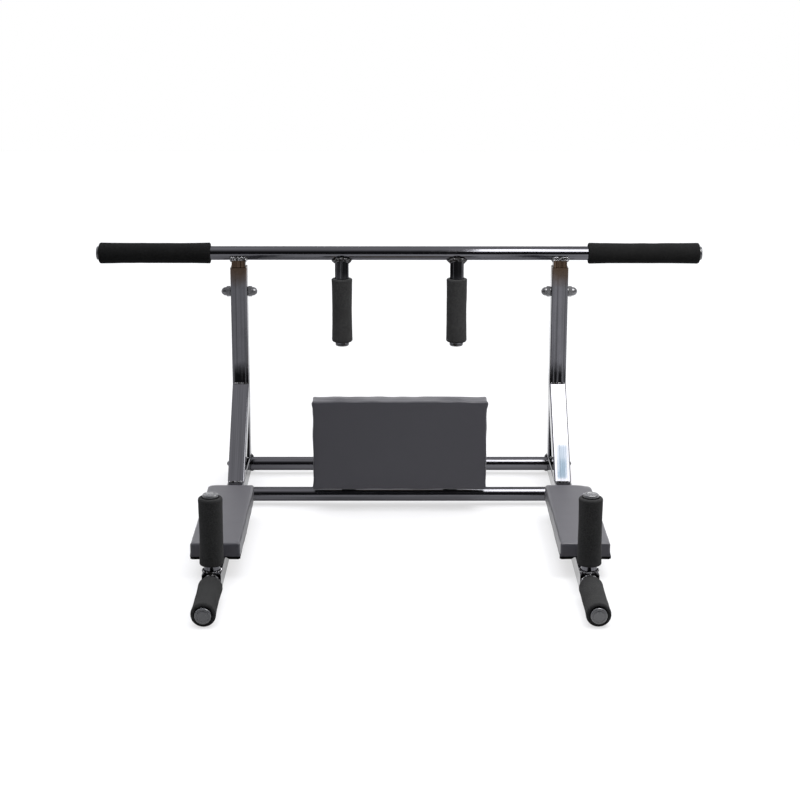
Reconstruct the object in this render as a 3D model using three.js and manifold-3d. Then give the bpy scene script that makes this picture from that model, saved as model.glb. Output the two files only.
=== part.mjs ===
// Dip station: two side frames of square tube joined by two cross tubes, with a pull-up bar on top,
// a back pad between the frames, and a forearm pad, an upright handle and a forward handle on each arm.
// Millimetres, +Z up, -Y towards the handles, +X to the right of someone who faces the back pad.
// The origin is on the floor, under the middle of the station's bounding box.
import * as THREE from 'three';
import { mergeVertices } from 'three/addons/utils/BufferGeometryUtils.js';
import Module from 'manifold-3d';

const wasm = await Module();
wasm.setup();

// Square tube of the posts, arms and braces
const squareSide = 30;
const squareWall = 2;
const squareCorner = 2.5;

// Round tube of the bar, the grips, the handles and the cross tubes
const roundDiameter = 25;
const roundWall = 1.5;

// Foam grips pushed over the round tubes
const foamThickness = 6.75;
const foamWaist = 0.6;
const foamEdge = 2;

// Clearances
const weldGap = 0.3;
const slipGap = 0.5;
const boreGap = 0.3;
const foamGap = 0.3;
const cutOverrun = 5;

// Side frames
const frameSpacing = 585;
const postLength = 360;
const braceRise = 144;
const braceRun = 148;
const armNose = 16;
const frontCrossForward = 186.5;

// Pull-up bar on its stubs
const barLength = 1092;
const barTubeShow = 36;
const neckHeight = 12.25;
const stubWall = 1.5;
const stubInsert = 88;
const stubCope = 4;

// Short grips hanging from the bar
const hangingSpacing = 210;
const hangingReach = 168;
const hangingFoamLength = 118;
const hangingTubeShow = 3;
const hangingCope = 5;

// Upright handles on the arms
const uprightFoamStart = 11;
const uprightFoamLength = 109;
const uprightTubeShow = 0.5;

// Forward handles out of the arms' front ends
const forwardInsert = 45;
const forwardFoamStart = 17.5;
const forwardFoamLength = 118;
const forwardTubeShow = 0.5;

// Round end plugs
const plugHead = 4.5;
const plugRim = 1.5;
const plugRound = 3;
const plugDepth = 14;

// Square foot plugs in the arms' rear ends
const footThickness = 5;
const footCorner = 4;
const footDepth = 9;

// Threaded rods through posts and stubs, with a domed nut on each end
const rodDiameter = 10;
const rodDrop = 46;
const rodGrip = 10;
const nutAcross = 17;
const nutHexHeight = 8;
const nutHeight = 17.6;
const nutFlange = 18;

// Domed bolts that hold the cross tubes to the arms
const tieDiameter = 8;
const tieAcross = 13;
const tieHexHeight = 5.5;
const tieHeight = 15;
const tieFlange = 14;
const tieEndThickness = 16;

// Thickness of the flange under a domed nut or bolt head
const flangeThickness = 1.6;

// Pad bolts, used for the forearm pads and the back pad
const screwDiameter = 6;
const screwHeadDiameter = 10.5;
const screwHeadHeight = 3.2;
const screwBite = 8;

// Forearm pads, with room for the brace behind and for fingers in front
const padToBrace = 95;
const padToHandle = 56;
const armPadLength = 310;
const armPadWidth = 80;
const armPadThickness = 24.7;
const armPadCorner = 4;
const armPadEdge = 4;
const armPadCrown = 1.6;
const armPadDrawIn = 1.2;
const armBoardThickness = 12;
const armBoardMargin = 4.5;
const armScrewInset = 60;

// Back pad and its uprights
const backPadWidth = 303;
const backPadHeight = 157;
const backPadThickness = 36.7;
const backPadBottom = 44.5;
const backPadCorner = 5;
const backPadEdge = 6;
const backPadCrown = 2.5;
const backPadDrawIn = 2;
const backBoardThickness = 12;
const backBoardMargin = 5.5;
const carrierSide = 25;
const carrierWall = 1.5;
const carrierCorner = 2;
const carrierInset = 61.5;
const carrierTopMargin = 22;
const carrierCap = 2;
const backScrewDrop = 45;

// Faces of the round shapes, and of the rounded corners
const roundSides = 24;
const plugSides = 16;
const boltSides = 12;
const cornerArcs = 1;
const padSideSteps = [4, 7];
const padCornerSteps = 3;

// Rings of a cushion: share of the rounded edge's radius that a ring is in and below the top
const edgeInShares = [0, 0.12, 0.5, 1];
const edgeDownShares = [1, 0.5, 0.13, 0];
// Rings of a cushion's crown: share of the way from the middle out
const crownShares = [0.85, 0.6, 0.3];

// Colours of the finishes
const darkChrome = new THREE.MeshStandardMaterial({ color: 0x55555d, roughness: 0.22, metalness: 1 });
const boltSteel = new THREE.MeshStandardMaterial({ color: 0x77787c, roughness: 0.35, metalness: 1 });
const blackFoam = new THREE.MeshStandardMaterial({ color: 0x262626, roughness: 0.95, metalness: 0 });
const greyPlug = new THREE.MeshStandardMaterial({ color: 0x4c4d50, roughness: 0.5, metalness: 0 });
const blackPlug = new THREE.MeshStandardMaterial({ color: 0x19191b, roughness: 0.55, metalness: 0 });
const greyVinyl = new THREE.MeshStandardMaterial({ color: 0x47464a, roughness: 0.55, metalness: 0 });
const plywood = new THREE.MeshStandardMaterial({ color: 0xb8935f, roughness: 0.8, metalness: 0 });

// Sizes that follow from the ones above. The foam of the forward handles and the foot plugs touch the
// floor, and both are as thick as the foam grips, so the arms lie level above it.
const foamDiameter = roundDiameter + 2 * foamThickness;
const armAxisHeight = foamDiameter / 2;
const armTopHeight = armAxisHeight + squareSide / 2;
const armPadRear = squareSide / 2 + braceRun + padToBrace;
const handleForward = armPadRear + armPadLength + padToHandle;
const armLength = squareSide / 2 + handleForward + armNose;
const stubSide = squareSide - 2 * squareWall - 2 * slipGap;
const barAxisHeight = armTopHeight + postLength + neckHeight + roundDiameter / 2;
const clearSpan = frameSpacing - squareSide;
const barFoamLength = (barLength - frameSpacing - squareSide) / 2 - barTubeShow;
const carrierSpacing = backPadWidth - 2 * carrierInset;
const rearReach = squareSide / 2 + weldGap + footThickness;
const forwardReach = forwardFoamStart + forwardFoamLength + forwardTubeShow;
const frontReach = handleForward + armNose + forwardReach + weldGap + plugHead;
const rodHole = rodDiameter + 2 * boreGap;
const tieHole = tieDiameter + 2 * boreGap;
const screwHole = screwDiameter + 2 * boreGap;
const rodHeight = postLength - rodDrop;
const barOffset = roundDiameter / 2;

// Turns a shape built along +Z until it points along +X or +Y
const alongX = (geometry) => geometry.rotateY(Math.PI / 2);
const alongY = (geometry) => geometry.rotateX(-Math.PI / 2);

// A closed solid from a geometry: shared corners merged, and triangles with no area left out
function solid(geometry) {
  const bare = geometry.clone();
  bare.deleteAttribute('normal');
  bare.deleteAttribute('uv');
  const merged = mergeVertices(bare);
  const corners = merged.index.array;
  const faces = [];
  for (let i = 0; i < corners.length; i += 3) {
    const [a, b, c] = corners.slice(i, i + 3);
    if (a !== b && b !== c && c !== a) faces.push(a, b, c);
  }
  return new wasm.Manifold(new wasm.Mesh({
    numProp: 3,
    vertProperties: new Float32Array(merged.attributes.position.array),
    triVerts: new Uint32Array(faces),
  }));
}

// The geometry of a solid
function shaped(manifold) {
  const mesh = manifold.getMesh();
  const geometry = new THREE.BufferGeometry();
  geometry.setAttribute('position', new THREE.BufferAttribute(mesh.vertProperties, 3));
  geometry.setIndex(new THREE.BufferAttribute(mesh.triVerts, 1));
  geometry.computeVertexNormals();
  return geometry;
}

// One geometry with others cut out of it
function cut(geometry, ...tools) {
  return shaped(tools.reduce((rest, tool) => rest.subtract(solid(tool)), solid(geometry)));
}

// One geometry with others joined to it
function join(geometry, ...others) {
  return shaped(others.reduce((sum, other) => sum.add(solid(other)), solid(geometry)));
}

// A solid of revolution round Z. The profile lists [radius, height], upwards on its outside.
function turned(profile, sides = roundSides) {
  const points = profile.map(([radius, height]) => new THREE.Vector2(radius, height));
  return new THREE.LatheGeometry(points, sides).rotateX(Math.PI / 2);
}

// A round bar from the ground up
function round(diameter, length, sides = roundSides) {
  return turned([[0, 0], [diameter / 2, 0], [diameter / 2, length], [0, length]], sides);
}

// A cutter for a hole whose middle is at the origin
function drill(diameter, length, sides = boltSides) {
  return round(diameter, length, sides).translate(0, 0, -length / 2);
}

// A round tube, open at both ends
function roundTube(diameter, wall, length) {
  const outer = diameter / 2;
  const inner = outer - wall;
  return turned([[inner, 0], [outer, 0], [outer, length], [inner, length], [inner, 0]]);
}

// The outline of a rectangle with round corners
function roundedOutline(kind, width, depth, corner) {
  const outline = new kind();
  const x = width / 2 - corner;
  const y = depth / 2 - corner;
  outline.absarc(x, y, corner, 0, Math.PI / 2);
  outline.absarc(-x, y, corner, Math.PI / 2, Math.PI);
  outline.absarc(-x, -y, corner, Math.PI, 1.5 * Math.PI);
  outline.absarc(x, -y, corner, 1.5 * Math.PI, 2 * Math.PI);
  outline.closePath();
  return outline;
}

function extruded(outline, length) {
  const options = { depth: length, bevelEnabled: false, curveSegments: cornerArcs };
  return new THREE.ExtrudeGeometry(outline, options);
}

// A solid square bar, and a square tube with open ends
function squareBar(side, corner, length) {
  return extruded(roundedOutline(THREE.Shape, side, side, corner), length);
}

function squareTube(side, wall, corner, length) {
  const outline = roundedOutline(THREE.Shape, side, side, corner);
  const inner = side - 2 * wall;
  outline.holes.push(roundedOutline(THREE.Path, inner, inner, Math.max(corner - wall, wall / 2)));
  return extruded(outline, length);
}

// A hexagon bar with the given size across its flats
function hexagon(across, height) {
  return turned([[0, 0], [across / Math.sqrt(3), 0], [across / Math.sqrt(3), height], [0, height]], 6);
}

// A foam grip: a thick sleeve with rounded ends and a slight waist, from z = 0 up
function foamGrip(length) {
  const inner = roundDiameter / 2 + foamGap;
  const outer = foamDiameter / 2;
  return turned([
    [inner, 0],
    [outer - foamEdge, 0],
    [outer, foamEdge],
    [outer - foamWaist, length / 2],
    [outer, length - foamEdge],
    [outer - foamEdge, length],
    [inner, length],
    [inner, 0],
  ]);
}

// A round end plug: its domed head stands on z = weldGap and its shank hangs in the tube
function roundPlug() {
  const shank = roundDiameter / 2 - roundWall - boreGap;
  const head = roundDiameter / 2;
  return turned([
    [0, -plugDepth],
    [shank, -plugDepth],
    [shank, weldGap],
    [head, weldGap],
    [head, weldGap + plugRim],
    [head - plugRound, weldGap + plugHead],
    [0, weldGap + plugHead],
  ], plugSides);
}

// A square foot plug: a shank for the arm's end, and a flange as wide as the foam is thick. The flange
// reaches from the floor (y up) to the arm's top face, so that it stays off the back of the post.
function footPlug() {
  const shankSide = squareSide - 2 * squareWall - 2 * boreGap;
  const outline = roundedOutline(THREE.Shape, foamDiameter, armTopHeight, footCorner);
  const flange = extruded(outline, footThickness).translate(0, (foamDiameter - armTopHeight) / 2, weldGap);
  const shank = squareBar(shankSide, squareWall, footDepth + 2 * weldGap).translate(0, 0, -footDepth);
  return join(flange, shank);
}

// A domed hexagon head on z = 0 with its flange, and its shank, if it has one, below
function domedHead(across, hexHeight, height, flange, shankDiameter = 0, shankLength = 0) {
  const shank = shankLength > 0 ? [[0, -shankLength], [shankDiameter / 2, -shankLength]] : [];
  const dome = [0, Math.PI / 6, Math.PI / 3].map((angle) => {
    return [across / 2 * Math.cos(angle), hexHeight + (height - hexHeight) * Math.sin(angle)];
  });
  const head = turned([
    ...shank,
    [shankDiameter / 2, 0],
    [flange / 2, 0],
    [flange / 2, flangeThickness],
    [across / 2, flangeThickness],
    ...dome,
    [0, height],
  ], boltSides);
  return join(head, hexagon(across, hexHeight));
}

// A domed nut on z = 0 with its blind hole downwards
function domedNut() {
  const head = domedHead(nutAcross, nutHexHeight, nutHeight, nutFlange);
  return cut(head, drill(rodHole, 2 * (rodGrip + boreGap)));
}

// A domed bolt on z = 0: the head above, the shank below
function domedBolt(shankLength) {
  return domedHead(tieAcross, tieHexHeight, tieHeight, tieFlange, tieDiameter, shankLength);
}

// A pad bolt on z = 0: a low round head above, the shank below
function padScrew(shankLength) {
  const headSide = screwHeadDiameter / 2;
  return turned([
    [0, -shankLength],
    [screwDiameter / 2, -shankLength],
    [screwDiameter / 2, 0],
    [headSide, 0],
    [headSide, screwHeadHeight / 2],
    [headSide / 2, screwHeadHeight],
    [0, screwHeadHeight],
  ], boltSides);
}

// One ring of a cushion: a rectangle with round corners, its sides pulled in between the corners
function cushionRing(halfX, halfY, corner, pull, inset, height) {
  const x = halfX - corner;
  const y = halfY - corner;
  const radius = corner - inset;
  const centres = [[x, y], [-x, y], [-x, -y], [x, -y]];
  const ring = [];
  centres.forEach(([cx, cy], quarter) => {
    const start = quarter * Math.PI / 2;
    for (let i = 0; i <= padCornerSteps; i++) {
      const angle = start + i / padCornerSteps * Math.PI / 2;
      ring.push([cx + radius * Math.cos(angle), cy + radius * Math.sin(angle), height]);
    }
    const [nx, ny] = centres[(quarter + 1) % 4];
    const steps = padSideSteps[quarter % 2];
    const side = start + Math.PI / 2;
    for (let i = 1; i < steps; i++) {
      const along = i / steps;
      const reach = radius - pull * 4 * along * (1 - along);
      const px = cx + (nx - cx) * along + reach * Math.cos(side);
      const py = cy + (ny - cy) * along + reach * Math.sin(side);
      ring.push([px, py, height]);
    }
  });
  return ring;
}

// A cushion from z = 0 up, with a crown, rounded edges and drawn-in sides
function cushion(width, length, thickness, corner, edge, crown, drawIn) {
  const flat = thickness - crown;
  const body = corner + edge;
  const ring = (inset, height, pull) => cushionRing(width / 2, length / 2, body, pull, inset, height);
  const rings = [ring(edge / 2, 0, drawIn), ring(0, edge / 2, drawIn)];
  edgeInShares.forEach((share, i) => {
    rings.push(ring(share * edge, flat - edgeDownShares[i] * edge, drawIn));
  });
  const rim = rings[rings.length - 1];
  crownShares.forEach((share) => {
    const rise = flat + crown * (1 - share * share);
    rings.push(rim.map(([x, y]) => [x * share, y * share, rise]));
  });
  const count = rim.length;
  const points = [[0, 0, 0], ...rings.flat(), [0, 0, thickness]];
  const last = points.length - 1;
  const faces = [];
  for (let i = 0; i < count; i++) {
    const next = (i + 1) % count;
    faces.push(0, 1 + next, 1 + i);
    for (let r = 0; r < rings.length - 1; r++) {
      const low = 1 + r * count;
      const high = low + count;
      faces.push(low + i, low + next, high + next, low + i, high + next, high + i);
    }
    faces.push(last - count + i, last - count + next, last);
  }
  const geometry = new THREE.BufferGeometry();
  geometry.setAttribute('position', new THREE.Float32BufferAttribute(points.flat(), 3));
  geometry.setIndex(faces);
  geometry.computeVertexNormals();
  return geometry;
}

// A cushion with a pocket in its underside for the board
function cushionOnBoard(form, boardWidth, boardLength, boardThickness) {
  const pocketDepth = boardThickness + weldGap;
  const pocket = new THREE.BoxGeometry(boardWidth + 2 * weldGap, boardLength + 2 * weldGap, 2 * pocketDepth);
  return cut(form, pocket);
}

// A named piece in a group
function add(group, name, geometry, material) {
  const mesh = new THREE.Mesh(geometry, material);
  mesh.name = name;
  group.add(mesh);
  return mesh;
}

// A tube's foam grip and end plug, along the tube's own +Z
function addGrip(group, name, foamStart, foamLength, tubeEnd) {
  add(group, `${name}_foam`, foamGrip(foamLength), blackFoam).position.z = foamStart;
  add(group, `${name}_plug`, roundPlug(), greyPlug).position.z = tubeEnd;
}

// The cutter that copes a tube's end to a round tube it is welded to
const copeCutter = (side) => alongX(drill(roundDiameter + 2 * weldGap, side + 2 * cutOverrun, roundSides));

// Post: stands on the arm's rear end, open at the top, drilled across for the threaded rod
function postGeometry() {
  const across = alongX(drill(rodHole, squareSide + 2 * cutOverrun)).translate(0, 0, rodHeight);
  const tube = squareTube(squareSide, squareWall, squareCorner, postLength - weldGap);
  return cut(tube.translate(0, 0, weldGap), across);
}

// Stub: slides into the post, with its top coped to the underside of the bar
function stubGeometry() {
  const top = postLength + neckHeight + stubCope;
  const bottom = postLength - stubInsert;
  const tube = squareTube(stubSide, stubWall, squareCorner - squareWall / 2, top - bottom);
  const bar = copeCutter(stubSide).translate(0, 0, postLength + neckHeight + barOffset);
  const across = alongX(drill(rodHole, squareSide + 2 * cutOverrun)).translate(0, 0, rodHeight);
  return cut(tube.translate(0, 0, bottom), bar, across);
}

// Brace: a square tube mitred to the post's front face (y = 0) and the arm's top face (z = 0)
function braceGeometry() {
  const slope = Math.hypot(braceRise, braceRun);
  const length = slope + 2 * squareSide;
  const tube = squareTube(squareSide, squareWall, squareCorner, length).translate(0, 0, -length / 2);
  tube.rotateX(-Math.atan2(braceRun, braceRise));
  const inward = squareSide / 2 / slope;
  tube.translate(0, -braceRun / 2 + braceRise * inward, braceRise / 2 - braceRun * inward);
  const room = new THREE.BoxGeometry(2 * squareSide, 2 * length, 2 * length);
  room.translate(0, -length - weldGap, length + weldGap);
  return shaped(solid(tube).intersect(solid(room)));
}

// Arm: z runs forward from the rear end, y is up. Drilled across for the cross tube bolts and
// upwards for the forearm pad bolts.
function armGeometry(screwPlaces) {
  const tube = squareTube(squareSide, squareWall, squareCorner, armLength);
  const through = squareSide + 2 * cutOverrun;
  const ties = [0, frontCrossForward].map((forward) => {
    return alongX(drill(tieHole, through)).translate(0, 0, squareSide / 2 + forward);
  });
  const screws = screwPlaces.map((place) => alongY(drill(screwHole, through)).translate(0, 0, place));
  return cut(tube, ...ties, ...screws);
}

// Cross tube: z runs along it, with a thick threaded end on each side
function crossTubeGeometry() {
  const length = clearSpan - 2 * weldGap;
  const bore = round(roundDiameter - 2 * roundWall, length - 2 * tieEndThickness);
  const holeLength = 2 * (tieEndThickness + cutOverrun);
  const ends = [0, length].map((place) => drill(tieHole, holeLength).translate(0, 0, place));
  return cut(round(roundDiameter, length), bore.translate(0, 0, tieEndThickness), ...ends);
}

const screwPlaces = [armPadRear + armScrewInset, armPadRear + armPadLength - armScrewInset];

// A side frame, with its origin on the post's axis at the arm's top face. outward is +1 on the right.
function sideFrame(side, outward) {
  const frame = new THREE.Group();
  add(frame, `post_${side}`, postGeometry(), darkChrome);
  add(frame, `bar_stub_${side}`, stubGeometry(), darkChrome);
  add(frame, `brace_${side}`, braceGeometry(), darkChrome).position.y = -squareSide / 2;

  const rodLength = squareSide + 2 * weldGap + 2 * rodGrip;
  const rod = add(frame, `post_rod_${side}`, drill(rodDiameter, rodLength), boltSteel);
  rod.rotation.y = Math.PI / 2;
  rod.position.z = rodHeight;
  for (const [place, way] of [['outer', outward], ['inner', -outward]]) {
    const cap = add(frame, `post_nut_${side}_${place}`, domedNut(), boltSteel);
    cap.rotation.y = way * Math.PI / 2;
    cap.position.set(way * (squareSide / 2 + weldGap), 0, rodHeight);
  }

  const arm = new THREE.Group();
  arm.rotation.x = Math.PI / 2;
  arm.position.set(0, squareSide / 2, -squareSide / 2);
  frame.add(arm);
  add(arm, `arm_tube_${side}`, armGeometry(screwPlaces.map((place) => place + squareSide / 2)), darkChrome);
  const foot = add(arm, `foot_plug_${side}`, footPlug(), blackPlug);
  foot.rotation.x = Math.PI;
  const forwardStart = armLength - forwardInsert;
  const forwardTube = roundTube(roundDiameter, roundWall, forwardInsert + forwardReach);
  add(arm, `forward_handle_${side}`, forwardTube, darkChrome).position.z = forwardStart;
  const forwardEnd = armLength + forwardReach;
  addGrip(arm, `forward_grip_${side}`, armLength + forwardFoamStart, forwardFoamLength, forwardEnd);

  const shank = squareSide + weldGap + tieEndThickness;
  for (const [name, forward] of [['rear', 0], ['front', frontCrossForward]]) {
    const bolt = add(frame, `${name}_tie_bolt_${side}`, domedBolt(shank), boltSteel);
    bolt.rotation.y = outward * Math.PI / 2;
    bolt.position.set(outward * (squareSide / 2 + weldGap), -forward, -squareSide / 2);
  }

  const handle = new THREE.Group();
  handle.position.set(0, -handleForward, 0);
  frame.add(handle);
  const handleLength = uprightFoamStart + uprightFoamLength + uprightTubeShow;
  const handleTube = roundTube(roundDiameter, roundWall, handleLength - weldGap).translate(0, 0, weldGap);
  add(handle, `upright_handle_${side}`, handleTube, darkChrome);
  addGrip(handle, `upright_grip_${side}`, uprightFoamStart, uprightFoamLength, handleLength);

  const pad = new THREE.Group();
  pad.position.set(0, -armPadRear - armPadLength / 2, weldGap);
  frame.add(pad);
  const boardWidth = armPadWidth - 2 * armBoardMargin;
  const boardLength = armPadLength - 2 * armBoardMargin;
  const screwOffset = armPadLength / 2 - armScrewInset;
  const screwHoles = [-screwOffset, screwOffset].map((y) => {
    return drill(screwHole, 2 * (screwBite + weldGap)).translate(0, y, 0);
  });
  const board = new THREE.BoxGeometry(boardWidth, boardLength, armBoardThickness);
  board.translate(0, 0, armBoardThickness / 2);
  add(pad, `arm_pad_board_${side}`, cut(board, ...screwHoles), plywood);
  const form = cushion(
    armPadWidth, armPadLength, armPadThickness, armPadCorner, armPadEdge, armPadCrown, armPadDrawIn,
  );
  const cover = cushionOnBoard(form, boardWidth, boardLength, armBoardThickness);
  add(pad, `arm_pad_${side}`, cover, greyVinyl);
  const screwShank = squareSide + 2 * weldGap + screwBite;
  for (const [name, y] of [['rear', screwOffset], ['front', -screwOffset]]) {
    const screw = add(pad, `arm_pad_bolt_${side}_${name}`, padScrew(screwShank), boltSteel);
    screw.rotation.x = Math.PI;
    screw.position.set(0, y, -squareSide - 2 * weldGap);
  }
  return frame;
}

// The pull-up bar with its two hanging grips, with its origin in the middle of the bar's axis
function pullUpBar() {
  const bar = new THREE.Group();
  const tube = roundTube(roundDiameter, roundWall, barLength).translate(0, 0, -barLength / 2);
  add(bar, 'pull_up_bar', tube, darkChrome).rotation.y = Math.PI / 2;
  for (const [side, way] of [['left', -1], ['right', 1]]) {
    const end = new THREE.Group();
    end.rotation.y = way * Math.PI / 2;
    bar.add(end);
    addGrip(end, `bar_grip_${side}`, barLength / 2 - barFoamLength, barFoamLength, barLength / 2);

    const hanging = new THREE.Group();
    hanging.rotation.x = Math.PI;
    hanging.position.x = way * hangingSpacing / 2;
    bar.add(hanging);
    const start = barOffset - hangingCope;
    const hangingTube = roundTube(roundDiameter, roundWall, hangingReach - start).translate(0, 0, start);
    add(hanging, `hanging_handle_${side}`, cut(hangingTube, copeCutter(roundDiameter)), darkChrome);
    const foamStart = hangingReach - hangingTubeShow - hangingFoamLength;
    addGrip(hanging, `hanging_grip_${side}`, foamStart, hangingFoamLength, hangingReach);
  }
  return bar;
}

// The back pad on its two uprights, with its origin on the front cross tube's axis
function backPad() {
  const back = new THREE.Group();
  const padBottom = backPadBottom - armAxisHeight;
  const carrierTop = padBottom + backPadHeight - carrierTopMargin;
  const screwHeight = carrierTop - backScrewDrop;
  const through = carrierSide + 2 * cutOverrun;

  const pad = new THREE.Group();
  pad.rotation.x = Math.PI / 2;
  pad.position.set(0, -carrierSide / 2 - weldGap, padBottom + backPadHeight / 2);
  back.add(pad);
  const boardWidth = backPadWidth - 2 * backBoardMargin;
  const boardHeight = backPadHeight - 2 * backBoardMargin;
  const board = new THREE.BoxGeometry(boardWidth, boardHeight, backBoardThickness);
  board.translate(0, 0, backBoardThickness / 2);
  const screwOffset = screwHeight - padBottom - backPadHeight / 2;
  const screwHoles = [-carrierSpacing / 2, carrierSpacing / 2].map((x) => {
    return drill(screwHole, 2 * (screwBite + weldGap)).translate(x, screwOffset, 0);
  });
  add(pad, 'back_pad_board', cut(board, ...screwHoles), plywood);
  const form = cushion(
    backPadWidth, backPadHeight, backPadThickness, backPadCorner, backPadEdge, backPadCrown, backPadDrawIn,
  );
  add(pad, 'back_pad', cushionOnBoard(form, boardWidth, boardHeight, backBoardThickness), greyVinyl);

  const screwShank = carrierSide + 2 * weldGap + screwBite;
  for (const [side, way] of [['left', -1], ['right', 1]]) {
    const carrier = squareBar(carrierSide, carrierCorner, carrierTop);
    const innerSide = carrierSide - 2 * carrierWall;
    const hollow = squareBar(innerSide, carrierWall, carrierTop - carrierCap + cutOverrun);
    hollow.translate(0, 0, -cutOverrun);
    const hole = alongY(drill(screwHole, through)).translate(0, 0, screwHeight);
    const geometry = cut(carrier, hollow, hole, copeCutter(carrierSide));
    add(back, `pad_upright_${side}`, geometry, darkChrome).position.x = way * carrierSpacing / 2;
    const screw = add(back, `back_pad_bolt_${side}`, padScrew(screwShank), boltSteel);
    screw.rotation.x = -Math.PI / 2;
    screw.position.set(way * carrierSpacing / 2, carrierSide / 2 + weldGap, screwHeight);
  }
  return back;
}

// The whole station, first with the posts' axes on y = 0, then moved so that the origin is under the
// middle of its bounding box
const station = new THREE.Group();
station.position.y = (frontReach - rearReach) / 2;
for (const [side, outward] of [['left', -1], ['right', 1]]) {
  const frame = sideFrame(side, outward);
  frame.position.set(outward * frameSpacing / 2, 0, armTopHeight);
  station.add(frame);
}
for (const [name, forward] of [['rear', 0], ['front', frontCrossForward]]) {
  const tube = add(station, `${name}_cross_tube`, crossTubeGeometry(), darkChrome);
  tube.rotation.y = Math.PI / 2;
  tube.position.set(-clearSpan / 2 + weldGap, -forward, armAxisHeight);
}
const bar = pullUpBar();
bar.position.z = barAxisHeight;
station.add(bar);
const back = backPad();
back.position.set(0, -frontCrossForward, armAxisHeight);
station.add(back);

export default station;
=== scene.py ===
# %% [markdown]
# # A dip station in dark chrome
#
# The station is a welded frame of square and round steel tube with foam grips, plastic end plugs and
# three padded boards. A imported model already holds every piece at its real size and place. This
# lesson keeps those sizes, models each piece again with rounder edges and softer forms, and gives it
# its finish. The first step loads that model as a frame that nothing may move.

# %% Load the frame
import math
import random

import bmesh
import bpy
from mathutils import Matrix
from mathutils import Vector
from mathutils import noise


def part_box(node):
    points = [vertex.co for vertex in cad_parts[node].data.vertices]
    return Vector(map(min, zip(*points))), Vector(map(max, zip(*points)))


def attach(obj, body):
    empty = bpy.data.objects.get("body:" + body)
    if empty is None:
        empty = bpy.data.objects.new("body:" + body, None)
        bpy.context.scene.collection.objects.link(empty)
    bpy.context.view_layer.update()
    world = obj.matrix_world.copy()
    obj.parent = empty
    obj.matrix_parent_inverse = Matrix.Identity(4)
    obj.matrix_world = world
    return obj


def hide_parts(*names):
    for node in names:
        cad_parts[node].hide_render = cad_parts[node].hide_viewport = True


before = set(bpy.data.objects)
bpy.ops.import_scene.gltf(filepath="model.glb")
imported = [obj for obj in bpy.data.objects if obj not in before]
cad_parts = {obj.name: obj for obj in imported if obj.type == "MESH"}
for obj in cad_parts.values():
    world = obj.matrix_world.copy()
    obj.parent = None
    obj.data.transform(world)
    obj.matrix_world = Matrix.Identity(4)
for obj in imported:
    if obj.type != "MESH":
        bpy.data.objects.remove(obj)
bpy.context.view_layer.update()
MM = 0.001
SIDES = ("left", "right")

# %% [markdown]
# ## Camera
#
# A catalogue picture is taken from far away with a long lens, so that the handles in front don't
# swell. The camera here stands three metres off and one metre up, and looks down by 15 degrees. It is
# turned and rolled by a fraction of a degree, because nobody sets a tripod square.

# %% Place the camera
CAMERA_PLACE = (-0.013, -3.001, 1.042)
CAMERA_DOWN = 14.9
CAMERA_ROLL = -0.07
CAMERA_TURN = -0.226
LENS = 84.74

turns = [math.radians(angle) for angle in (90 - CAMERA_DOWN, CAMERA_ROLL, CAMERA_TURN)]
bpy.ops.object.camera_add(location=CAMERA_PLACE, rotation=turns)
camera = bpy.context.object
camera.data.lens = LENS
bpy.context.scene.camera = camera
bpy.context.scene.view_settings.view_transform = "Standard"
print("camera at", tuple(camera.location), "lens", camera.data.lens)

# %% [markdown]
# ## Light
#
# Chrome has no look of its own: it shows the room. This room has a white ceiling and back wall and
# is dark behind the camera, which gives each round tube its black band. One softbox hangs close
# above the right half. It could hang further off and be larger, but then every tube would show it at
# the same height round its section, and the photograph shows it lower on the bar than on the cross
# tubes. A small blue gel sits in the middle of it, paler at its back, and the foot of the right
# brace mirrors it. The softbox is there for the mirrors, and only its right panel lights matt things
# as well: most of the light that the foam, the vinyl and the paper get comes from the room above.

# %% Hang the softbox
SOFTBOX_HEIGHT = 1.02
SOFTBOX_X = (0.17, 0.82)
SOFTBOX_Y = (-0.45, 0.22)
GEL_X = (0.367, 0.399)
GEL_Y = (-0.055, 0.027)
GEL_PALE_FROM = -0.008
WHITE_LIGHT = (1.0, 0.995, 0.985)
GEL_BLUE = (0.59, 0.86, 1.0)
GEL_PALE = (0.78, 0.93, 1.0)
BACK_BRIGHTNESS = 11.6
FRONT_BRIGHTNESS = 8.4
GEL_BRIGHTNESS = 3.9
GEL_PALE_BRIGHTNESS = 5.3


def panel(name, across, along, brightness, colour, lights=False):
    """A level panel that faces down. A mirror shows its brightness, and it may light matt things too."""
    width = across[1] - across[0]
    depth = along[1] - along[0]
    bpy.ops.object.light_add(type="AREA", location=(sum(across) / 2, sum(along) / 2, SOFTBOX_HEIGHT))
    lamp = bpy.context.object
    lamp.name = name
    lamp.data.shape = "RECTANGLE"
    lamp.data.size = width
    lamp.data.size_y = depth
    lamp.data.energy = brightness * math.pi * width * depth
    lamp.data.color = colour
    lamp.visible_camera = False
    lamp.visible_diffuse = lights


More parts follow.
